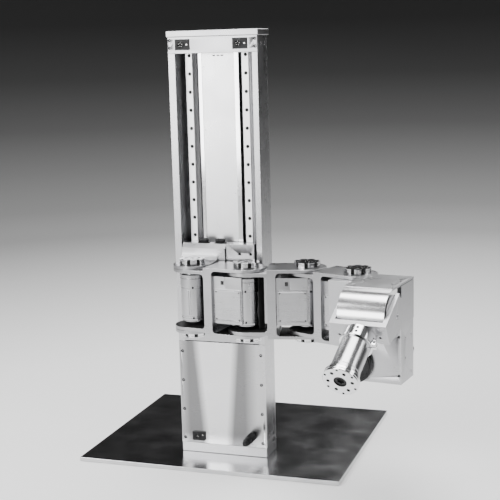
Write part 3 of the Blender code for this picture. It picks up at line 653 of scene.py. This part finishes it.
def build_foot_sockets():
    low, high = span("power_inlet", "column")
    x, z = (low.x + high.x) / 2, (low.z + high.z) / 2
    half_w, half_h = (high.x - low.x) / 2, (high.z - low.z) / 2
    place = PLACES["column"] @ Matrix.Translation(Vector((x, high.y, z)) * MM)
    port = circle(-2.5, -0.5, half_h * 0.72, 32)
    face = prism(rounded(-half_w, half_w, -half_h, half_h, 1.5), -4.2, 0, holes=[port], axis="Y")
    back = prism(rounded(-half_w + 1, half_w - 1, -half_h + 1, half_h - 1, 1), -0.9, -0.1, axis="Y")
    obj = piece("power_inlet_body", group(face, back), "plastic", "column", 0.35,
                replaces=("power_inlet",), place=place)
    ring_r = half_h * 0.72
    ring = turned([(ring_r - 2.2, 0), (ring_r - 0.2, 0), (ring_r - 0.2, 3.4), (ring_r - 0.9, 4.0),
                   (ring_r - 2.2, 4.0)], 32)
    piece("power_inlet_ring", moved(ring, -2.5, -0.9, -0.5, turn=DOWN_Y), "anodised", "column", place=place)
    pins = [moved(turned([(0, 0), (1.1, 0), (1.1, 2.6), (0.6, 3.0), (0, 3.0)], 12), -2.5 + dx, -0.9,
                  -0.5 + dz, turn=DOWN_Y)
            for dx, dz in ((-2.2, -1.3), (2.2, -1.3), (0, 2.4))]
    pins.append(moved(turned([(0, 0), (1.5, 0), (1.5, 0.9), (1.0, 1.3), (0, 1.3)], 16), half_w - 4.2,
                      -4.2, 3.2, turn=DOWN_Y))
    piece("power_inlet_pins", group(*pins), "pin", "column", place=place)
    low, high = span("signal_plug", "column")
    place = PLACES["column"] @ Matrix.Translation(Vector(((low.x + high.x) / 2, high.y,
            (low.z + high.z) / 2)) * MM)
    knurl = []
    teeth = 36
    for i in range(teeth):
        knurl += [(r * math.cos(a), r * math.sin(a)) for r, a in (
            (9.1, 2 * math.pi * i / teeth), (9.8, 2 * math.pi * (i + 0.5) / teeth))]
    parts = [
        turned([(0, 0), (9.6, 0), (9.6, 3), (8.6, 3.6), (8.6, 5.0), (0, 5.0)], 40),
        prism(knurl, 5.2, 27),
        turned([(0, 27), (8.6, 27), (8.6, 29), (8.9, 29.4), (8.9, 40), (8.0, 44), (7.0, 46), (0, 46)], 40),
        turned([(0, 46), (6.4, 46), (6.4, 48), (5.6, 48.6), (5.6, 50), (6.4, 50.6), (6.4, 52), (5.6, 52.6),
                (5.6, 54), (4.6, 55.6), (0, 55.6)], 32),
    ]
    mesh = group(*[moved(part, turn=DOWN_Y) for part in parts])
    piece("signal_plug_body", mesh, "plastic", "column", 0.2, replaces=("signal_plug",), place=place)
    return obj


def build_lift_motor():
    low, high = span("lift_motor", "column")
    x, y = (low.x + high.x) / 2, (low.y + high.y) / 2
    z = low.z
    profile = [(0, z), (18, z), (20.6, z + 2.5), (20.6, z + 30)]
    for i in range(12):
        at = z + 34 + i * 8
        profile += [(20.6, at), (20.0, at + 0.8), (20.0, at + 2.0), (20.6, at + 2.8)]
    profile += [(20.6, z + 174), (15.8, z + 175), (15.8, z + 191), (8.8, z + 192), (8.8, z + 217),
                (0, z + 217)]
    piece("lift_motor_body", moved(turned(profile, 48), x, y), "anodised", "column",
          replaces=("lift_motor",))


def build_column():
    refined("base_plate", "column", "base", 0.5)
    build_walls()
    build_cover()
    build_cap()
    build_rails()
    build_panel()
    build_lead_screw()
    build_foot_sockets()
    build_lift_motor()
    low, high = span("lower_bearing_block", "column")
    points = [(x, low.y, z) for x in (low.x + 9, high.x - 9) for z in (low.z + 7, high.z - 7)]
    refined("lower_bearing_block", "column", "frame", 0.4,
            holes=[(x, y, z, 2.9, 2.0, DOWN_Y) for x, y, z in points])
    fasten("column", [(x, y + 2.0, z) for x, y, z in points], DOWN_Y, 2.6, 1.5)


# ---------------------------------------------------------------- carriage

def build_carriage():
    low, high = span("carriage_plate", "carriage")
    points = [(49.4, low.y, high.z - 21.5), (74.7, low.y, high.z - 21.5), (49.4, low.y, low.z + 22),
              (74.7, low.y, low.z + 22)]
    refined("carriage_plate", "carriage", "frame", 0.5,
            holes=[(x, y, z, 3.3, 3.0, DOWN_Y) for x, y, z in points])
    fasten("carriage", [(x, y + 3.0, z) for x, y, z in points], DOWN_Y, 2.9, 2.2)
    refined("shoulder_bracket", "carriage", "frame", 0.5)
    for side in ("left", "right"):
        low, high = span(f"{side}_slider", "carriage")
        refined(f"{side}_slider", "carriage", "steel", 0.4)
        for name, z0 in (("lower", low.z - 4.0), ("upper", high.z)):
            seal = box(low.x + 1.5, high.x - 1.5, low.y + 0.8, low.y + 3.4, z0, z0 + 4.0)
            piece(f"{side}_slider_{name}_seal", seal, "plastic", "carriage", 0.5)
    refined("drive_nut", "carriage", "bronze", 0.3)
    top = span("shoulder_bracket", "carriage")[1].z
    for name, x in (("left", -36.0), ("right", 3.0)):
        build_block_connector(f"block_{name}_connector", x, 8.6, top)


def build_block_connector(name, x, y, z):
    """A low round-bodied cable connector that stands on the shoulder block, with its locking ring and gland."""
    place = PLACES["carriage"] @ Matrix.Translation(Vector((x, y, z)) * MM)
    foot = prism(rounded(-13, 13, -5.5, 4.0, 2.0), 0.2, 2.2)
    shell = turned([(0, -10.5), (4.4, -10.5), (4.9, -10.0), (4.9, -3.0), (4.4, -2.4), (4.4, -1.4),
                    (5.0, -0.8),
                    (5.0, 6.5), (4.4, 7.2), (4.4, 9.0), (3.4, 10.5), (0, 10.5)], 32)
    shell = moved(shell, 0, -1.0, 6.2, turn=(1, 0, 0))
    piece(name, group(foot, shell), "plastic", "carriage", 0.3, place=place)
    ring = turned([(4.0, 0), (5.4, 0), (5.4, 1.6), (4.0, 1.6)], 32)
    piece(f"{name}_ring", moved(ring, -5.0, -1.0, 6.2, turn=(1, 0, 0)), "anodised", "carriage", 0.2,
          place=place)


# ---------------------------------------------------------------- arm

ARM_LOW, ARM_HIGH = span("link_1", "arm_1")[0].z, span("link_1", "arm_1")[1].z


def castle_nut(stub_r, stub_h, height):
    """A castellated bearing nut on z = 0 with a hexagon socket in its top, and its stub below."""
    outer, root, slots = 27.9, 22.9, 8
    pitch = 360.0 / slots
    half = pitch * 0.18
    rim = []
    for i in range(slots):
        at = i * pitch
        rim += arc(0, 0, root, at - half, at + half, 3)
        rim += arc(0, 0, outer, at + half, at + pitch - half, 6)
    groove = turned([(24.6, height - 3.2), (29, height - 3.2), (29, height - 2.6),
                     (24.6, height - 2.6)], 64)
    step = turned([(13.4, height - 0.9), (17.4, height - 0.9), (17.4, height + 1), (13.4, height + 1)], 64)
    body = combine(prism(rim, 0.3, height), group(groove, step))
    body = combine(body, prism(circle(0, 0, 5.4, 6), height - 5.0, height + 1))
    return combine(body, prism(circle(0, 0, stub_r, 48), -stub_h, 1.0), "UNION")


def darken(obj, chosen):
    """Paints faces black as painted shade, where chosen(centre in millimetres, normal) is true."""
    obj.data.materials.append(MATS["inside"])
    for polygon in obj.data.polygons:
        if chosen(polygon.center / MM, polygon.normal):
            polygon.material_index = 1


def build_hubs(number, body):
    top = span(f"hub_{number}_top", body)
    height = top[1].z - ARM_HIGH
    stub = ARM_HIGH - top[0].z
    nut = castle_nut(12.6, stub, height)
    turn = math.radians(11.0 * number)
    nut.transform(Matrix.Rotation(turn, 4, "Z"))
    under = nut.copy()
    under.transform(Matrix.Rotation(math.pi, 4, "X"))
    for end, mesh, z in (("top", nut, ARM_HIGH), ("bottom", under, ARM_LOW)):
        node = f"hub_{number}_{end}"
        obj = piece(f"{node}_nut", moved(mesh, z=z), "bright", body, 0.45, replaces=(node,))
        # Painted shade: the nut's slot walls, groove, step and hexagon socket are made black.
        darken(obj, lambda c, n: abs(n.z) < 0.5 and (12.8 < c.xy.length < 24.4 or c.xy.length < 5.6))


def build_drive(number, body, x, y):
    """A gearmotor: barrel with grooves, a clamp band with its screws, and the gear ring on top."""
    low, high = span(f"drive_{number}", body)
    z0, z1 = low.z, high.z
    ring_z = z0 + 80
    profile = [
        (0, z0), (21.0, z0), (21.8, z0 + 0.8), (21.8, z0 + 2.0), (26.2, z0 + 3.4), (27.0, z0 + 4.4),
        (27.0, z0 + 9.0),
        (26.0, z0 + 9.6), (26.0, z0 + 11.0), (27.0, z0 + 11.6), (27.0, z0 + 13.2), (26.5, z0 + 13.6),
        (26.5, z0 + 14.2),
        (27.0, z0 + 14.6), (27.0, ring_z - 5.0), (26.3, ring_z - 4.4), (26.3, ring_z - 1.2),
        (27.8, ring_z - 0.4),
        (27.8, z1 - 13.0), (27.2, z1 - 12.4), (27.2, z1 - 11.6), (27.8, z1 - 11.0), (27.8, z1 - 4.6),
        (27.0, z1 - 3.8),
        (22.2, z1 - 3.2), (22.0, z1 - 0.4), (21.4, z1), (0, z1),
    ]
    barrel = moved(turned(profile, 72), x, y)
    piece(f"drive_{number}_barrel", barrel, "barrel", body, replaces=(f"drive_{number}",))
    rail = box(x - 3.4, x + 3.4, y - 28.4, y - 25.8, z0 + 17, ring_z - 8)
    slit = box(x - 0.7, x + 0.7, y - 29, y - 25, z0 + 16, ring_z - 7)
    piece(f"drive_{number}_rail", combine(rail, slit), "barrel", body, 0.3)
    fasten(body, [(x + 9.0, y - 26.4, ring_z - 2.0), (x + 9.0, y - 26.0, z0 + 10.4)], (0.32, -0.95, 0),
           2.1, 1.6)


def build_module(number, body):
    """A drive's electronics box: a split upper block with its socket, and a screwed cover plate."""
    low, high = span(f"drive_{number}_box", body)
    plate_low, plate_high = span(f"drive_{number}_cover", body)
    mesh = cad_mesh(f"drive_{number}_box", body)
    seam_z = plate_high.z + 2.2
    seams = [
        box(low.x - 1, high.x + 1, low.y - 1, low.y + 0.7, seam_z, seam_z + 0.8),
        box(low.x + 28.0, low.x + 28.8, low.y - 1, low.y + 0.7, seam_z + 2.0, high.z + 1),
        box(low.x - 1, high.x + 1, high.y - 0.7, high.y + 1, seam_z, seam_z + 0.8),
    ]
    for seam in seams:
        mesh = combine(mesh, seam)
    piece(f"drive_{number}_box_finished", mesh, "satin", body, 0.35, replaces=(f"drive_{number}_box",))
    corners = [(x, plate_low.y, z) for x in (plate_low.x + 3.6, plate_high.x - 3.6)
               for z in (plate_low.z + 3.6, plate_high.z - 3.6)]
    holes = [(x, y, z, 1.9, 1.2, DOWN_Y) for x, y, z in corners]
    refined(f"drive_{number}_cover", body, "satin", 0.25, holes=holes)
    fasten(body, [(x, y + 1.2, z) for x, y, z in corners], DOWN_Y, 1.7, 1.0)
    build_small_socket(f"drive_{number}_socket", body, low.x + 22.0, low.y, (seam_z + high.z) / 2 + 0.5,
                       6.4, 8.6)


def build_small_socket(name, body, x, y, z, width, height):
    """A small rectangular header in a face that looks along -Y."""
    half_w, half_h = width / 2, height / 2
    shell = prism(rounded(-half_w, half_w, -half_h, half_h, 0.8), -1.2, 0.4,
                  holes=[rounded(-half_w + 1.0, half_w - 1.0, -half_h + 1.0, half_h - 1.0, 0.5)], axis="Y")
    back = box(-half_w + 0.5, half_w - 0.5, -0.1, 0.4, -half_h + 0.5, half_h - 0.5)
    place = PLACES[body] @ Matrix.Translation(Vector((x, y, z)) * MM)
    piece(name, group(shell, back), "plastic", body, 0.0, place=place)
    pins = [moved(box(-0.3, 0.3, -0.9, 0.0, -0.3, 0.3), dx, 0, dz) for dx in (-1.0,
            1.0) for dz in (-2.2, 0.0, 2.2)]
    piece(f"{name}_pins", group(*pins), "pin", body, 0.0, place=place)


def build_painted_shade_sheet(number, body, x, y):
    """A curved black sheet round the far side of a drive, as painted shade, with the conduits that run up
    inside it.
    """
    low, high = ARM_LOW + 17.4, ARM_HIGH - 17.4
    outline = arc(x, y, 37.0, -22, 150, 36) + arc(x, y, 35.8, 150, -22, 36)
    # Painted shade: a black sheet standing where the link's inside lies in shade.
    piece(f"drive_{number}_painted_shade_sheet", prism(outline, low, high), "inside", body, 0.2)
    for index, angle in enumerate((-14, 1)):
        points = []
        for step in range(6):
            wave = math.radians(angle + 3.0 * math.sin(step * 2.1 + index))
            radius = 32.2 + 0.5 * math.cos(step * 1.7)
            points.append((x + radius * math.cos(wave), y + radius * math.sin(wave), low + 6 + step * 15.0))
        corrugated(f"drive_{number}_conduit_{index + 1}", points, 2.9, body)


def build_links():
    low, high = span("drive_1", "carriage")
    centre = (low + high) / 2
    build_drive(1, "carriage", centre.x, centre.y)
    build_painted_shade_sheet(1, "carriage", centre.x, centre.y)
    for number in (1, 2, 3):
        body = f"arm_{number}"
        link = refined(f"link_{number}", body, "frame", 0.6)
        # Painted shade: the inner faces of the top and bottom plates are made black.
        darken(link, lambda c, n: n.z > 0.9 and ARM_LOW + 5 < c.z < ARM_LOW + 20
               or n.z < -0.9 and ARM_HIGH - 20 < c.z < ARM_HIGH - 5)
        build_hubs(number, body)
        low, high = span(f"drive_{number + 1}", body)
        far = (low.x + high.x) / 2
        build_drive(number + 1, body, far, 0)
        build_painted_shade_sheet(number + 1, body, far, 0)
        build_module(number + 1, body)


# ---------------------------------------------------------------- wrist

def build_wrist():
    build_hubs(4, "wrist")
    refined("wrist_bracket", "wrist", "frame", 0.5)
    low, high = span("wrist_top_plate", "wrist")
    points = [(50.8, -54.1), (42.0, -78.7), (53.2, -105.1), (105.5, -50.2), (118.3, -75.7),
              (108.8, -102.1), (44.0, -130.0),
              (118.0, -130.0)]
    holes = [(x, y, high.z, 2.9, 2.6, (0, 0, 1)) for x, y in points]
    refined("wrist_top_plate", "wrist", "frame", 0.3, holes=holes)
    fasten("wrist", [(x, y, high.z - 2.6) for x, y in points], (0, 0, 1), 2.6, 2.0)
    for side in ("left", "right"):
        refined(f"wrist_{side}_plate", "wrist", "frame", 0.4)
    low, high = span("wrist_housing", "wrist")
    front = [(high.x - 4.5, low.y, high.z - 23), (high.x - 4.5, low.y, low.z + 18),
             (high.x - 38, low.y, high.z - 34),
             (low.x + 6.0, low.y, high.z - 12)]
    side = [(high.x, low.y + 27, high.z - 30), (high.x, low.y + 27, low.z + 49),
            (high.x, high.y - 14, high.z - 30),
            (high.x, high.y - 14, low.z + 14)]
    holes = [(x, y, z, 2.7, 2.2, DOWN_Y) for x, y, z in front] + [(x, y, z, 2.7, 2.2, (1, 0, 0)) for x,
            y, z in side]
    refined("wrist_housing", "wrist", "frame", 0.6, holes=holes)
    fasten("wrist", [(x, y + 2.2, z) for x, y, z in front], DOWN_Y, 2.4, 1.7)
    fasten("wrist", [(x - 2.2, y, z) for x, y, z in side], (1, 0, 0), 2.4, 1.7, finish="steel")
    build_motor_cap()
    build_cover_sheet()
    build_pitch_drive()
    build_wrist_sockets(high)


def build_motor_cap():
    low, high = span("wrist_motor_cap", "wrist")
    centre = (low + high) / 2
    depth = high.y - low.y
    r = (high.x - low.x) / 2
    profile = [
        (0, 0), (r, 0), (r, depth - 2.6), (r - 0.8, depth - 1.8), (r - 3.4, depth - 1.8),
        (r - 3.8, depth - 1.0),
        (r - 4.4, depth), (r - 6.0, depth), (r - 6.6, depth - 0.9), (r - 6.9, depth - 2.4),
        (10, depth - 3.0),
        (9.4, depth - 1.6), (8.6, depth - 1.2), (0, depth - 1.2),
    ]
    mesh = moved(turned(profile, 72), centre.x, high.y, centre.z, turn=DOWN_Y)
    piece("wrist_motor_cap_finished", mesh, "anodised", "wrist", replaces=("wrist_motor_cap",))
    bolts = [(centre.x + (r - 12) * math.cos(math.radians(a)), low.y + 2.9,
              centre.z + (r - 12) * math.sin(math.radians(a)))
             for a in (45, 135, 225, 315)]
    fasten("wrist", bolts, DOWN_Y, 2.2, 1.2)


def pitch_centre():
    """The pitch axis's y and z in the wrist's frame."""
    point = PLACES["wrist"].inverted() @ Vector(joint("wrist_pitch")["pos_m"]) / MM
    return point.x, point.y, point.z


def build_cover_sheet():
    """The rolled sheet over the pitch drive, with a lip rolled outward at its lower edge."""
    low, high = span("wrist_cover", "wrist")
    _, cy, cz = pitch_centre()
    outer = high.z - cz
    inner = outer - 1.6
    lip = low.z
    outline = arc(cy, cz, outer, 88, 180, 40) + [(cy - outer, lip + 1.6)]
    outline += arc(cy - outer + 0.9, lip + 1.0, 0.9, 180, 300, 6)
    outline += [(cy - inner, lip + 1.2)] + arc(cy, cz, inner, 180, 88, 40)
    mesh = prism(outline, low.x, high.x, axis="X")
    piece("wrist_cover_sheet", mesh, "sheet", "wrist", 0.25, replaces=("wrist_cover",))


def build_pitch_drive():
    low, high = span("pitch_drive", "wrist")
    _, cy, cz = pitch_centre()
    r = (high.z - low.z) / 2
    x0, x1 = low.x, high.x
    length = x1 - x0
    profile = [(0, 0), (r - 1.2, 0), (r, 1.2), (r, length * 0.52), (r - 1.4, length * 0.53),
               (r - 1.4, length * 0.6)]
    for i in range(5):
        at = length * 0.62 + i * 4.6
        profile += [(r - 1.4, at), (r - 2.4, at + 0.6), (r - 2.4, at + 1.8), (r - 1.4, at + 2.4)]
    profile += [(r - 1.4, length - 1.0), (r - 2.4, length), (0, length)]
    mesh = moved(turned(profile, 72), x0, cy, cz, turn=(1, 0, 0))
    piece("pitch_drive_finished", mesh, "barrel", "wrist", replaces=("pitch_drive",))


def build_wrist_sockets(high):
    """A round knob low on the housing's back, and a cable connector under the top plate's back edge."""
    knob = turned([(0, 0), (9, 0), (9, 2), (8, 2.4), (8, 4), (12.4, 5), (13.2, 6.2), (13.2, 12),
                   (12.2, 13.2), (6, 13.6),
                   (5.4, 12.6), (0, 12.6)], 48)
    knob = moved(knob, high.x - 15, high.y + 0.2, 301.0, turn=(0, 1, 0))
    piece("wrist_knob", knob, "bright", "wrist", 0.3)
    low_top, high_top = span("wrist_top_plate", "wrist")
    shell = turned([(0, 0), (8.0, 0), (8.0, 5), (7.2, 5.6), (7.2, 7), (8.4, 7.8), (8.4, 13.5),
                    (6.4, 15.2), (0, 15.2)], 32)
    shell = moved(shell, high_top.x - 14, span("wrist_right_plate", "wrist")[1].y + 0.2, low_top.z - 13,
                  turn=(0, 1, 0))
    piece("wrist_back_connector", shell, "plastic", "wrist", 0.3)


# ---------------------------------------------------------------- pitch unit and tool

def build_pitch_unit():
    low, high = span("pitch_yoke", "pitch_unit")
    pivots = [(side * (high.x), 0, 0, 7.0, 1.6, (side, 0, 0)) for side in (-1, 1)]
    screws = [(side * 40.5, high.y * 0.1 - 3, low.z, 2.8, 2.4, (0, 0, -1)) for side in (-1, 1)]
    refined("pitch_yoke", "pitch_unit", "frame", 0.6, holes=pivots + screws)
    fasten("pitch_unit", [(x, y, z + 2.4) for x, y, z, _, _, _ in screws], (0, 0, -1), 2.5, 1.9)
    for x, y, z, _, depth, out in pivots:
        fasten("pitch_unit", [(x - out[0] * depth, y, z)], out, 6.4, 1.4, finish="steel")
    build_collar()
    build_tube()
    refined("tool_motor", "pitch_unit", "anodised", 0.4)
    refined("ring_gear", "pitch_unit", "gear", 0.08)
    refined("sun_gear", "sun", "gear", 0.08)
    for number in (1, 2, 3):
        refined(f"planet_{number}", f"planet_body_{number}", "gear", 0.08)


def build_collar():
    """The split clamp: a bored ring with ears on one side, a slit and its two screws."""
    low, high = span("clamp_collar", "pitch_unit")
    z0, z1 = low.z, high.z
    outer = high.y
    bore = outer - 3.9
    ring = turned([(bore, z0), (outer - 0.8, z0), (outer, z0 + 0.8), (outer, z1 - 0.3),
                   (outer - 0.3, z1), (bore, z1)], 96)
    ears = prism(rounded(outer - 3, outer + 7, -7, 7, 1.2), z0 + 1, z0 + 13)
    slit = box(bore - 8, outer + 10, -1, 1, z0 - 1, z1 + 1)
    screw_hole = moved(prism(circle(0, 0, 2.6, 20), -9, 9), outer + 3.2, 0, z0 + 7, turn=(0, 1, 0))
    mesh = combine(combine(ring, ears, "UNION"), slit)
    mesh = combine(mesh, screw_hole)
    aside = math.radians(9)
    out = (math.sin(aside), -math.cos(aside), 0)
    levels = (z0 + 8, z0 + 18)
    mesh = combine(mesh, drills([(out[0] * outer, out[1] * outer, z, 2.9, 2.6, out) for z in levels]))
    piece("clamp_collar_finished", mesh, "bright", "pitch_unit", 0.35, replaces=("clamp_collar",))
    fasten("pitch_unit", [(outer + 3.2, -6.2, z0 + 7)], (0, -1, 0), 2.5, 1.6)
    fasten("pitch_unit", [(out[0] * (outer - 2.4), out[1] * (outer - 2.4), z) for z in levels], out,
           2.7, 1.6)


def build_tube():
    low, high = span("tool_tube", "pitch_unit")
    z0, z1 = low.z, high.z
    bore, r = 25.5, 28.3
    profile = [
        (bore, z0), (r + 1.2, z0), (r + 2.0, z0 + 0.8), (r + 2.0, z0 + 6.0), (r + 1.4, z0 + 6.8),
        (r + 0.6, z0 + 7.4),
        (r + 0.6, z0 + 8.2), (r + 1.2, z0 + 8.8), (r + 1.2, z0 + 10.4), (r + 0.4, z0 + 11.2),
        (r, z0 + 11.6),
        (r, z1 - 1.0), (r - 0.8, z1),
        (bore, z1),
    ]
    piece("tool_tube_finished", turned(profile, 96), "barrel", "pitch_unit", replaces=("tool_tube",))


def build_flange():
    """The output flange with its two rings of holes, its bore with a splined socket, and the carrier behind."""
    mesh = cad_mesh("tool_flange", "tool")
    low, high = span("tool_flange", "tool")
    carrier_only = box(-60, 60, -60, 60, low.z - 5, low.z + 11.5)
    shaft = combine(mesh, carrier_only)
    z0 = low.z
    r = 34.5
    disc = turned([(0, z0 + 6), (12.0, z0 + 6), (12.0, z0 + 0.6), (12.6, z0), (r - 1.0, z0),
                   (r, z0 + 1.0), (r, z0 + 3.4),
                   (r - 0.7, z0 + 4.0), (r - 0.7, z0 + 5.0), (r, z0 + 5.6), (r, z0 + 11.0),
                   (r - 0.4, z0 + 11.4),
                   (0, z0 + 11.4)], 96)
    holes = []
    for ring_r, hole_r, turn in ((23.5, 3.5, 0.0), (30.2, 2.5, 30.0)):
        for x, y in circle(0, 0, ring_r, 6, turn):
            holes.append((x, y, z0, hole_r, 8.0, (0, 0, -1)))
    disc = combine(disc, drills(holes))
    x_axis, y_axis = PLACES["tool"].col[0], PLACES["tool"].col[1]
    level = math.atan2(-x_axis.y, y_axis.y)
    disc.transform(Matrix.Rotation(-level, 4, "Z"))
    place = PLACES["tool"] @ Matrix.Rotation(level, 4, "Z")
    disc = piece("tool_flange_disc", disc, "bright", "tool", 0.3, replaces=("tool_flange",), place=place)
    # Painted shade: the walls of the holes and the bore are made black.
    darken(disc, lambda c, n: z0 + 0.1 < c.z < z0 + 8.5 and math.hypot(c.x, c.y) < r - 1.5)
    piece("planet_carrier", shaft, "gear", "tool", 0.2)
    star = []
    for i in range(12):
        radius = 8.2 if i % 2 else 5.6
        a = math.radians(30 * i)
        star.append((radius * math.cos(a), radius * math.sin(a)))
    socket = prism(circle(0, 0, 11.4, 48), z0 + 2.4, z0 + 5.9, holes=[star])
    piece("tool_flange_socket", socket, "anodised", "tool", 0.25)


# ---------------------------------------------------------------- stage

FLOOR_R, BEND_R, WALL_TOP = 3.2, 1.5, 3.6  # metres


def stage_material():
    """Pale paper with painted shade: darker outward across the floor and up the wall."""
    mat = bpy.data.materials.new("backdrop_paper_painted_shade")
    mat.use_nodes = True
    shader = mat.node_tree.nodes["Principled BSDF"]
    shader.inputs["Roughness"].default_value = 0.9
    shader.inputs["Specular IOR Level"].default_value = 0.1
    coords = add_node(mat, "ShaderNodeTexCoord")
    axes = add_node(mat, "ShaderNodeSeparateXYZ")
    flat = add_node(mat, "ShaderNodeVectorMath", operation="MULTIPLY")
    flat.inputs[1].default_value = (1.0, 1.0, 0.0)
    radius = add_node(mat, "ShaderNodeVectorMath", operation="LENGTH")
    outward = map_range(mat, radius.outputs["Value"], (0.9, FLOOR_R), (0.0, 0.05))
    place = add_node(mat, "ShaderNodeMath", operation="MULTIPLY_ADD")
    place.inputs[1].default_value = 1.0 / WALL_TOP
    link_nodes(mat, (coords.outputs["Object"], axes.inputs["Vector"]),
               (coords.outputs["Object"], flat.inputs[0]),
               (flat.outputs["Vector"], radius.inputs[0]), (axes.outputs["Z"], place.inputs[0]),
               (outward, place.inputs[2]))
    ramp = add_node(mat, "ShaderNodeValToRGB")
    # Painted shade: the paper's grey falls from white near the object to near black up the wall.
    stops = ((0.0, 1.0), (0.045, 0.62), (0.07, 0.42), (0.12, 0.28), (0.18, 0.15), (0.26, 0.07),
             (0.35, 0.035), (1.0, 0.02))
    while len(ramp.color_ramp.elements) < len(stops):
        ramp.color_ramp.elements.new(0.5)
    for element, (position, grey) in zip(ramp.color_ramp.elements, stops):
        element.position = position
        element.color = (grey, grey, grey, 1.0)
    link_nodes(mat, (place.outputs["Value"], ramp.inputs["Fac"]),
               (ramp.outputs["Color"], shader.inputs["Base Color"]))
    return mat


def build_stage():
    """A round floor whose edge bends up into a wall all the way round."""
    steps = 128
    profile = [(0.4, 0), (1.6, 0)] + arc(FLOOR_R, BEND_R, BEND_R, -90, 0,
                                         24) + [(FLOOR_R + BEND_R, WALL_TOP)]
    bm = bmesh.new()
    rings = [[bm.verts.new((x, y, z)) for x, y in circle(0, 0, r, steps)] for r, z in profile]
    for inner, outer in zip(rings, rings[1:]):
        for i in range(steps):
            j = (i + 1) % steps
            bm.faces.new((inner[i], outer[i], outer[j], inner[j]))
    bm.faces.new(rings[0])
    mesh = bpy.data.meshes.new("floor")
    bm.to_mesh(mesh)
    bm.free()
    mesh.materials.append(stage_material())
    mesh.shade_smooth()
    floor = bpy.data.objects.new("floor", mesh)
    floor.location = (0, 0, -0.0005)
    bpy.context.scene.collection.objects.link(floor)


def area_light(name, location, target, size, power, size_y=None):
    data = bpy.data.lights.new(name, "AREA")
    data.shape = "RECTANGLE"
    data.size = size
    data.size_y = size_y or size
    data.energy = power
    light = bpy.data.objects.new(name, data)
    light.location = location
    light.rotation_euler = (Vector(target) - Vector(location)).to_track_quat("-Z", "Y").to_euler()
    bpy.context.scene.collection.objects.link(light)


def build_lights():
    area_light("key_softbox", (-1.8, -2.0, 2.2), (0.1, -0.1, 0.45), 1.2, 70)
    area_light("top_softbox", (0.3, -0.4, 2.9), (0.1, 0.0, 0.3), 2.0, 115)
    area_light("front_softbox", (-1.5, -3.7, 0.95), (0.0, 0.0, 0.6), 1.3, 60, 1.7)
    area_light("right_strip", (2.6, 0.2, 1.3), (0.2, -0.1, 0.5), 0.4, 12, 1.6)
    area_light("back_softbox", (0.4, 2.6, 2.6), (0.0, 0.3, 0.1), 2.0, 45)
    world = bpy.data.worlds.new("studio")
    world.use_nodes = True
    world.node_tree.nodes["Background"].inputs["Color"].default_value = (0.50, 0.50, 0.50, 1.0)
    world.node_tree.nodes["Background"].inputs["Strength"].default_value = 0.25
    bpy.context.scene.world = world


def build_camera():
    """A long lens level with the column's top, a little to the right of the object."""
    azimuth, dip, roll = math.radians(-18.678), math.radians(9.934), -0.02655
    ahead = Vector((math.sin(azimuth) * math.cos(dip), math.cos(azimuth) * math.cos(dip), -math.sin(dip)))
    side = Vector((math.cos(azimuth), -math.sin(azimuth), 0))
    up = side.cross(ahead)
    right = side * math.cos(roll) + up * math.sin(roll)
    up = up * math.cos(roll) - side * math.sin(roll)
    data = bpy.data.cameras.new("camera")
    data.lens = 82.83
    data.sensor_width = 36
    camera = bpy.data.objects.new("camera", data)
    place = Matrix((right, up, -ahead)).transposed().to_4x4()
    place.translation = (0.8755, -2.4881, 0.9142)
    camera.matrix_world = place
    bpy.context.scene.collection.objects.link(camera)
    bpy.context.scene.camera = camera


# ---------------------------------------------------------------- everything

build_camera()
build_stage()
build_lights()
build_column()
build_carriage()
build_links()
build_wrist()
build_pitch_unit()
build_flange()
build_fasteners()
